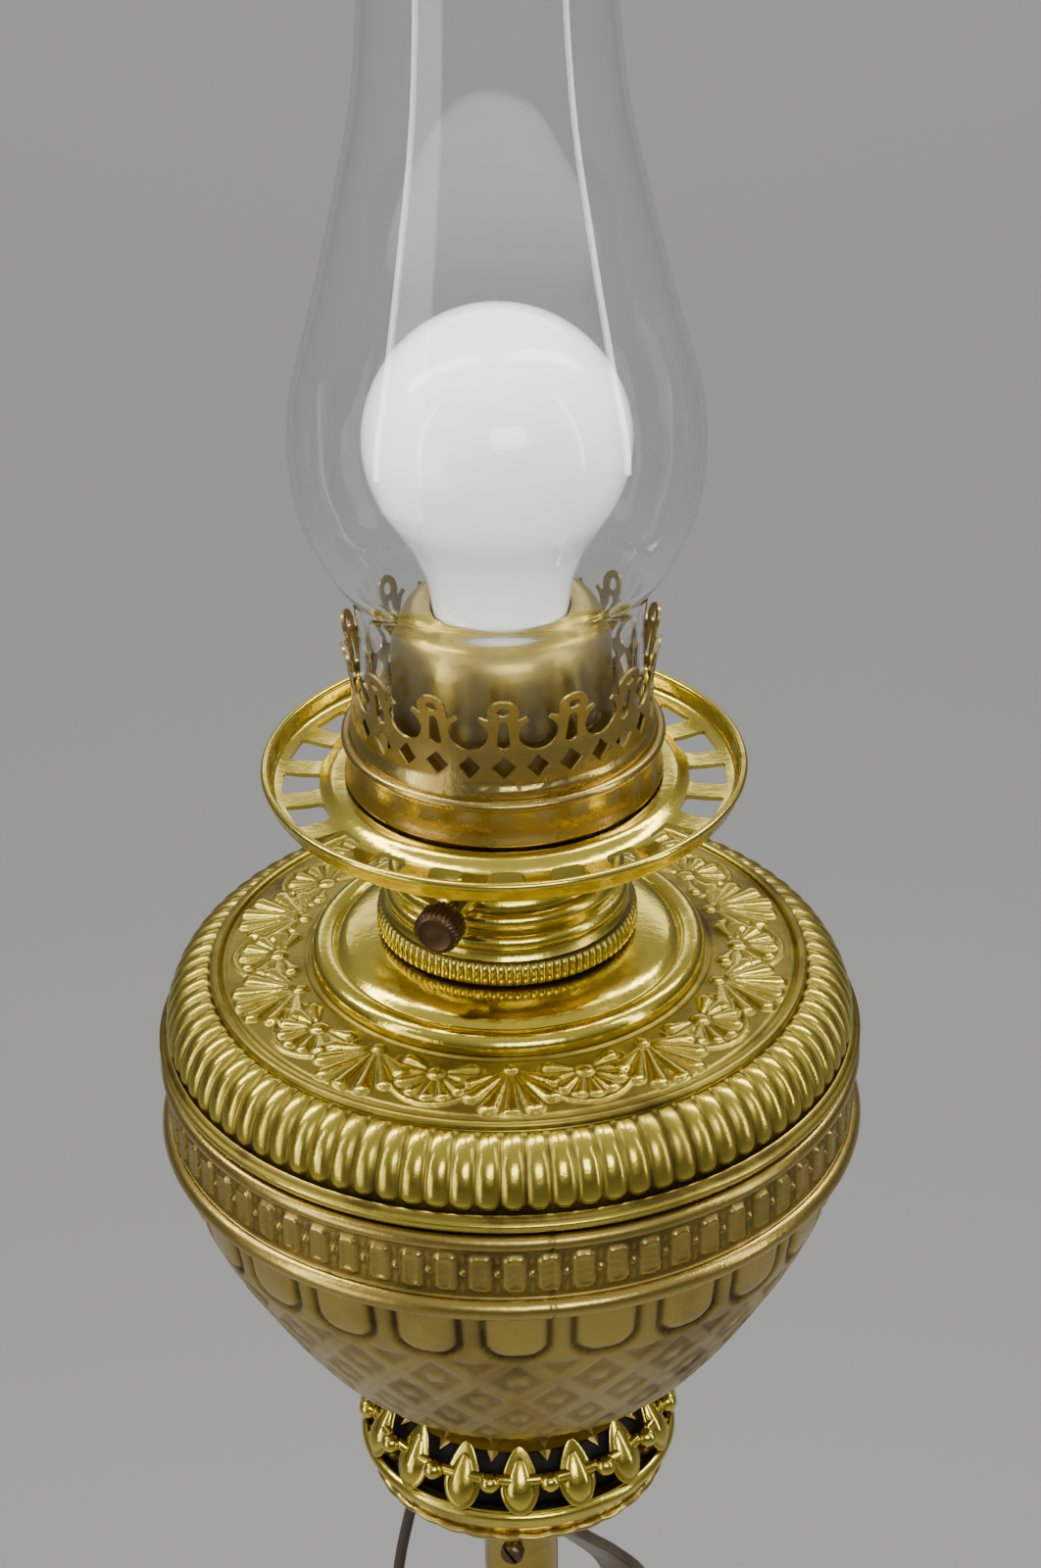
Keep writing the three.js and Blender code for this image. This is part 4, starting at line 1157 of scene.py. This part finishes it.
@dataclass(frozen=True)
class Stem:
    """The stem head under the knop, its set screw and the strap handle behind it.

    Args:
        radius: radius of the head in mm.
        handle: azimuth of the handle in degrees.
        screw: azimuth of the set screw in degrees.
        strap_width: width of the handle's strap in mm.
        strap_height: height from the handle's lower rivet to its upper one, in mm.
    """

    radius: float = 9.5
    handle: float = 60.0
    screw: float = -103.0
    strap_width: float = 15.0
    strap_height: float = 190.0

    def _rivet(self, name: str, height: float, root: float) -> bpy.types.Object:
        """Returns a domed rivet that points out, its head against the strap at `root` mm."""
        head = [(0, root + 2.6), (1.4, root + 2.4), (2.6, root + 1.5), (3.1, root)]
        head += [(1.5, root), (1.5, 8), (0, 8)]
        rivet = turned(name, head, 24, base=0)
        return lay_radially(rivet, math.radians(self.handle), height)

    def build(self) -> None:
        """Makes the head, the screw and the handle."""
        top, foot = level("stem_head"), level("stem_head", top=False)
        face = [(5, top), (10.4, top), *arc(10.4, top - 0.9, 0.9, 80, -80, 7), (9.9, top - 2.2)]
        face += [(self.radius, top - 3.4), (self.radius, top - 16), (self.radius, foot + 3)]
        face += [(9.0, foot + 0.6), (8.2, foot), (7.3, foot), (7.3, foot + 10), (5, foot + 12)]
        head = turned("stem-head", face, 72)
        dress(head, AGED, Body.STAND, ["stem_head"])
        self._set_screw(top - 10)
        root = self.radius + 0.3 + 1.6
        up = BULB_Z + top - 9
        low = up - self.strap_height
        line = [(root, up + 6), (root, up), (root + 1.4, up - 6), (root + 11, up - 18), (root + 29, up - 38)]
        line += [(root + 46, up - 61), (root + 54, up - 92), (root + 48, up - 128), (root + 28, low + 32)]
        line += [(root + 8, low + 16), (root + 1, low + 6), (root, low), (root, low - 5)]
        strap = ribbon("strap-handle", flowing(line, 5), self.strap_width, 3.0, 1.0)
        turn_to(strap, math.radians(self.handle))
        dress(strap, DARK, Body.STAND, ["handle_strap"])
        for name, height in (("upper", up - BULB_Z), ("lower", low - BULB_Z)):
            rivet = self._rivet(f"handle-rivet-{name}", height, root + 1.5)
            dress(rivet, RUBBED, Body.STAND, [f"handle_rivet_{name}"])
        band = [(7.3, low - 6), (8.8, low - 6), (9.5, low - 5.2)]
        band += [(9.5, low + 5.2), (8.8, low + 6), (7.3, low + 6)]
        dress(turned("handle-band", band, 64, base=0), RUBBED, Body.STAND, ["handle_band"])

    def _set_screw(self, height: float) -> None:
        """Makes the slotted head of the set screw on its boss."""
        head = [(0, 12.0), (2.3, 12.0), (2.9, 11.5), (3.0, 10.8), (3.0, 9.0), (0, 8.8)]
        screw = turned("set-screw", head, 40, base=0)
        deselect()
        bpy.ops.mesh.primitive_cube_add(size=1)
        slot = bpy.context.active_object
        slot.data.transform(Matrix.Diagonal((8 * MM, 0.9 * MM, 1.6 * MM, 1)))
        slot.data.transform(Matrix.Rotation(math.radians(35), 4, "Z"))
        slot.data.transform(Matrix.Translation((0, 0, 12.0 * MM)))
        cut = screw.modifiers.new("slot", "BOOLEAN")
        cut.operation = "DIFFERENCE"
        cut.solver = "EXACT"
        cut.object = slot
        activate(screw)
        bpy.ops.object.modifier_apply(modifier="slot")
        bpy.data.objects.remove(slot)
        soften(screw)
        lay_radially(screw, math.radians(self.screw), height)
        dress(screw, DARK, Body.STAND, ["set_screw"])


@dataclass(frozen=True)
class Post:
    """The post, its turned knuckles and the hub."""

    def _knuckle(self, name: str, node: str, radius: float) -> None:
        """Makes one turned knuckle where the CAD has it."""
        low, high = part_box(node)[0].z / MM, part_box(node)[1].z / MM
        h = high - low
        turns = [(0.72, 0.0), (0.78, 0.1), (0.6, 0.19), (0.66, 0.25), (0.92, 0.34), (1.0, 0.5)]
        line = [(7.3, low), *((radius * r, low + z * h) for r, z in turns)]
        line += [(r, low + high - z) for r, z in line[-2::-1]]
        face = line[:1] + flowing(line[1:-1], 5) + line[-1:]
        dress(turned(name, face, 80, base=0), BRIGHT, Body.STAND, [node])

    def build(self) -> None:
        """Makes the post, the knuckles, the hub and the finial."""
        low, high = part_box("post_tube")[0].z / MM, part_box("post_tube")[1].z / MM
        tube = [(5.5, low), (7.0, low), (7.0, high), (5.5, high)]
        dress(turned("post", tube, 64, base=0), AGED, Body.STAND, ["post_tube"])
        self._knuckle("lower-knuckle", "lower_knuckle", 17)
        self._knuckle("middle-knuckle", "middle_knuckle", 18)
        foot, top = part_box("base_hub")[0].z / MM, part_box("base_hub")[1].z / MM
        line = [(12.6, top), (15.6, top - 1.2), (17, top - 4), (16.9, top - 12)]
        line += [(16.9, top - 44), (15.2, top - 54)]
        line += [(13.2, top - 63), (14.6, top - 78), (21, top - 96), (23.8, top - 108), (21.5, top - 120)]
        line += [(14.5, top - 132), (11, foot + 4), (10.4, foot)]
        hub = [(7.3, top), *flowing(line, 5), (4.8, foot), (4.8, foot + 100), (7.3, foot + 101)]
        dress(turned("hub", hub, 96, base=0), AGED, Body.STAND, ["base_hub"])
        top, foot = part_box("base_finial")[1].z / MM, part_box("base_finial")[0].z / MM
        line = [(9, top), (11.4, top - 1.4), (11.8, top - 4), (8.6, top - 7), (7.2, top - 9.6)]
        line += [(10.6, top - 14), (12.4, top - 20), (10.6, top - 27), (6, top - 34)]
        line += [(4, top - 37.4), (3.4, top - 40), (0, foot)]
        finial = turned("finial", [(0, top), *flowing(line, 5)], 64, base=0)
        dress(finial, BRIGHT, Body.STAND, ["base_finial"])


@dataclass(frozen=True)
class Legs:
    """The four strap legs, their rivets and feet.

    Args:
        count: legs around.
        first: azimuth of the first leg in degrees.
        root: radius of a leg's centre line at the hub in mm.
        reach: radius of a foot's centre in mm.
        width: width of the strap in mm.
        thickness: thickness of the strap in mm.
        foot: height of a foot in mm.
    """

    count: int = 4
    first: float = 55.0
    root: float = 20.1
    reach: float = 182.0
    width: float = 18.0
    thickness: float = 4.8
    foot: float = 9.0

    def build(self) -> None:
        """Makes every leg with its rivet and foot."""
        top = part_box("base_hub")[1].z / MM - 14
        foot = self.foot
        line = [(self.root, top), (self.root, top - 12), (self.root + 1, top - 26)]
        line += [(self.root + 16, top - 62)]
        line += [(self.root + 52, top - 84), (self.root + 88, top - 118), (self.root + 106, top - 176)]
        line += [(self.reach - 38, foot + 44), (self.reach - 16, foot + 10), (self.reach, foot + 2.8)]
        line += [(self.reach + 16, foot + 8), (self.reach + 21, foot + 23), (self.reach + 11, foot + 32)]
        line += [(self.reach + 2, foot + 24)]
        path = flowing(line, 5)
        face = self.root + self.thickness / 2 + 0.2
        rivet_line = [(0, face + 3.3), (2.6, face + 3), (4.6, face + 1.7), (5.2, face)]
        rivet_line += [(2.4, face), (2.4, 15), (0, 15)]
        foot_line = [(0, 0), (11.6, 0), (13, 1.2), (13.5, 3.6), (13, 5.8), (11.4, 7.8)]
        foot_line += [(9.6, foot - 0.2), (0, foot)]
        for i in range(self.count):
            turn = math.radians(self.first + i * 360 / self.count)
            strap = turn_to(ribbon(f"leg-{i + 1}", path, self.width, self.thickness, 1.3), turn)
            dress(strap, AGED, Body.STAND, [f"leg_{i + 1}"])
            rivet = turned(f"leg-rivet-{i + 1}", rivet_line, 32, base=0)
            lay_radially(rivet, turn, top - 12 - BULB_Z)
            dress(rivet, BRIGHT, Body.STAND, [f"leg_rivet_{i + 1}"])
            pad = turned(f"foot-{i + 1}", foot_line, 48, base=0)
            pad.data.transform(Matrix.Translation((self.reach * MM, 0, 0)))
            turn_to(pad, turn)
            dress(pad, AGED, Body.STAND, [f"foot_{i + 1}"])


# --- Cord ---


@dataclass(frozen=True)
class Cord:
    """The lamp cord, which hangs to the floor and is put away in a coil behind the lamp.

    Args:
        diameter: of the cord, in mm.
        middle: centre of the coil on the floor, in mm.
        mean: radius of the coil's middle turns in mm.
        turns: turns side by side, and the same number of layers.
        plug: centre of the plug on the floor, in mm.
        heading: direction that the blades point, in degrees.
    """

    diameter: float = 3.0
    middle: tuple[float, float] = (-18.0, 104.0)
    mean: float = 17.5
    turns: int = 3
    plug: tuple[float, float] = (22.0, 128.0)
    heading: float = 60.0

    def _hanging(self) -> list[tuple]:
        """Returns the route from the bushing to the coil."""
        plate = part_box("knop_base")[1].z / MM
        floor = self.diameter / 2 + 0.2
        side = self.middle[0] - self.mean - (self.turns + 1) * self.diameter / 2 - 0.6
        route = [(-25.98, 15, plate - 1), (-26.2, 15.1, plate - 14), (-28, 16.2, plate - 31)]
        route += [(-32.6, 19, plate - 57), (-37, 23, plate - 110), (-37.5, 28, plate - 220)]
        route += [(-33, 33, plate - 420), (-28, 38, plate - 620), (-24.5, 41, plate - 820)]
        route += [(-24, 43, 100), (-25, 45.5, 40), (-27, 49, 16), (-31, 55, 5), (-35, 63, floor)]
        route += [(side + 1, 80, floor), (side, 94, floor), (side, self.middle[1], floor)]
        return flowing(route, 4)

    def _coiled(self, per_turn: int = 28) -> list[tuple]:
        """Returns the coil's turns, clockwise from its left side, in and out by layers."""
        total = self.turns * self.turns
        points = []
        for i in range(1, (total * per_turn) + 1 + per_turn * 31 // 100):
            u = i / per_turn
            layer = min(int(u // self.turns), self.turns - 1)
            v = u - layer * self.turns
            whole, part = int(v), v % 1
            shift = min(max((part - 0.6) / 0.25, 0.0), 1.0)
            ring = min(whole + shift, self.turns - 1)
            if layer % 2:
                ring = self.turns - 1 - ring
            climb = min(max((v - self.turns + 0.15) / 0.15, 0.0), 1.0)
            lead = max(0.0, 1 - u / 0.3) * (self.diameter + 0.6)
            radius = self.mean + self.diameter * (1 - ring) + lead
            height = self.diameter * (layer + climb + 0.5) + 0.2
            turn = math.pi - TAU * u
            x, y = self.middle[0] + radius * math.cos(turn), self.middle[1] + radius * math.sin(turn)
            points.append((x, y, height))
        return points

    def _tail(self) -> list[tuple]:
        """Returns the last stretch, over the coil and into the plug."""
        over = self.diameter * (self.turns + 0.5) + 0.6
        route = [(-9.0, 115.3, over + 0.1), (-3, 111.6, over + 0.2), (2.5, 109.6, over - 0.1)]
        route += [(7.4, 109.6, 9.6)]
        route += [(11.3, 111.4, 8.6), (13.4, 113.6, 8.3), (14.6, 115.3, 8.3)]
        return flowing(route, 3)

    def build(self) -> None:
        points = [*self._hanging(), *self._coiled(), *self._tail()]
        curve = bpy.data.curves.new("lamp-cord", "CURVE")
        curve.dimensions = "3D"
        curve.bevel_depth = self.diameter / 2 * MM
        curve.bevel_resolution = 4
        curve.use_fill_caps = True
        spline = curve.splines.new("POLY")
        spline.points.add(len(points) - 1)
        for point, place in zip(spline.points, points):
            point.co = (*(c * MM for c in place), 1)
        cord = bpy.data.objects.new("lamp-cord", curve)
        bpy.context.collection.objects.link(cord)
        dress(cord, CORD, Body.STAND, ["cord_lead", "cord_coil"])
        pieces = [self._tie(), self._plug()]
        self._bushing()

    def _bushing(self) -> None:
        """Makes the insulating bushing that the cord leaves by."""
        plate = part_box("knop_base")[1].z / MM
        line = [(1.8, plate + 2), (3.5, plate + 2), (3.5, plate - 3.4), (4.9, plate - 3.6)]
        line += [(5.3, plate - 4.4)]
        line += [(4.6, plate - 5.3), (3.2, plate - 5.5), (1.9, plate - 4.8)]
        bushing = turned("cord-bushing", line, 32, base=0)
        bushing.data.transform(Matrix.Translation((30 * MM, 0, 0)))
        turn_to(bushing, math.radians(150))
        dress(bushing, MOULDED, Body.STAND, ["cord_bushing"])

    def _tie(self) -> bpy.types.Object:
        """Makes the strap that holds the coil together."""
        low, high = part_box("cord_tie")
        half = (high.y - low.y) / 2 / MM - 0.6
        top = high.z / MM
        middle = (low.y + high.y) / 2 / MM
        line = [(-half, 0.3), (-half, top - 2), (-half + 1.4, top - 0.7)]
        line += [(half - 1.4, top - 0.7), (half, top - 2), (half, 0.3)]
        tie = ribbon("cord-tie", flowing(line, 3), 5, 1.0, 0.3)
        turn_to(tie, math.pi / 2)
        tie.data.transform(Matrix.Translation((self.middle[0] * MM, middle * MM, 0)))
        return dress(tie, MOULDED, Body.STAND, ["cord_tie"])

    def _plug(self) -> bpy.types.Object:
        """Makes the moulded two-blade plug with its grip and strain relief."""
        deselect()
        bpy.ops.mesh.primitive_cube_add(size=1)
        body = bpy.context.active_object
        body.name = "plug"
        for v in body.data.vertices:
            rear = v.co.x < 0
            v.co = (v.co.x * 30 * MM, v.co.y * (13 if rear else 22) * MM, v.co.z * (10 if rear else 16) * MM)
        edges = body.modifiers.new("edges", "BEVEL")
        edges.width = 2.6 * MM
        edges.segments = 5
        activate(body)
        bpy.ops.object.modifier_apply(modifier="edges")
        soften(body, 50)
        relief_line = [(0, -1.5), (2.7, -1.5), (3.0, 0), (3.2, 2.6), (4.4, 6), (0, 6)]
        relief = turned("relief", relief_line, 24, base=0)
        relief.data.transform(Matrix.Rotation(math.pi / 2, 4, "Y"))
        relief.data.transform(Matrix.Translation((-15 * MM, 0, 0)))
        whole = joined("plug", [body, relief])
        turn_to(whole, math.radians(self.heading))
        whole.data.transform(Matrix.Translation((self.plug[0] * MM, self.plug[1] * MM, 8.3 * MM)))
        refinish("plug_blade_left", BRIGHT)
        refinish("plug_blade_right", BRIGHT)
        return dress(whole, MOULDED, Body.STAND, ["plug_body"])


# --- Assembly ---


def main() -> None:
    """Builds the camera and the cord, then every sub-assembly."""
    logging.basicConfig(level=logging.INFO, format="%(name)s: %(message)s")
    studio = Studio()
    studio.camera()
    Cord().build()
    studio.build()
    for part in (Chimney(), Bulb(), Sleeve(), Gallery(), ShadeRing(), Burner(), Key()):
        part.build()
    for part in (Font(), Urn(), Knop(), Stem(), Post(), Legs()):
        part.build()


if __name__ == "__main__":
    main()
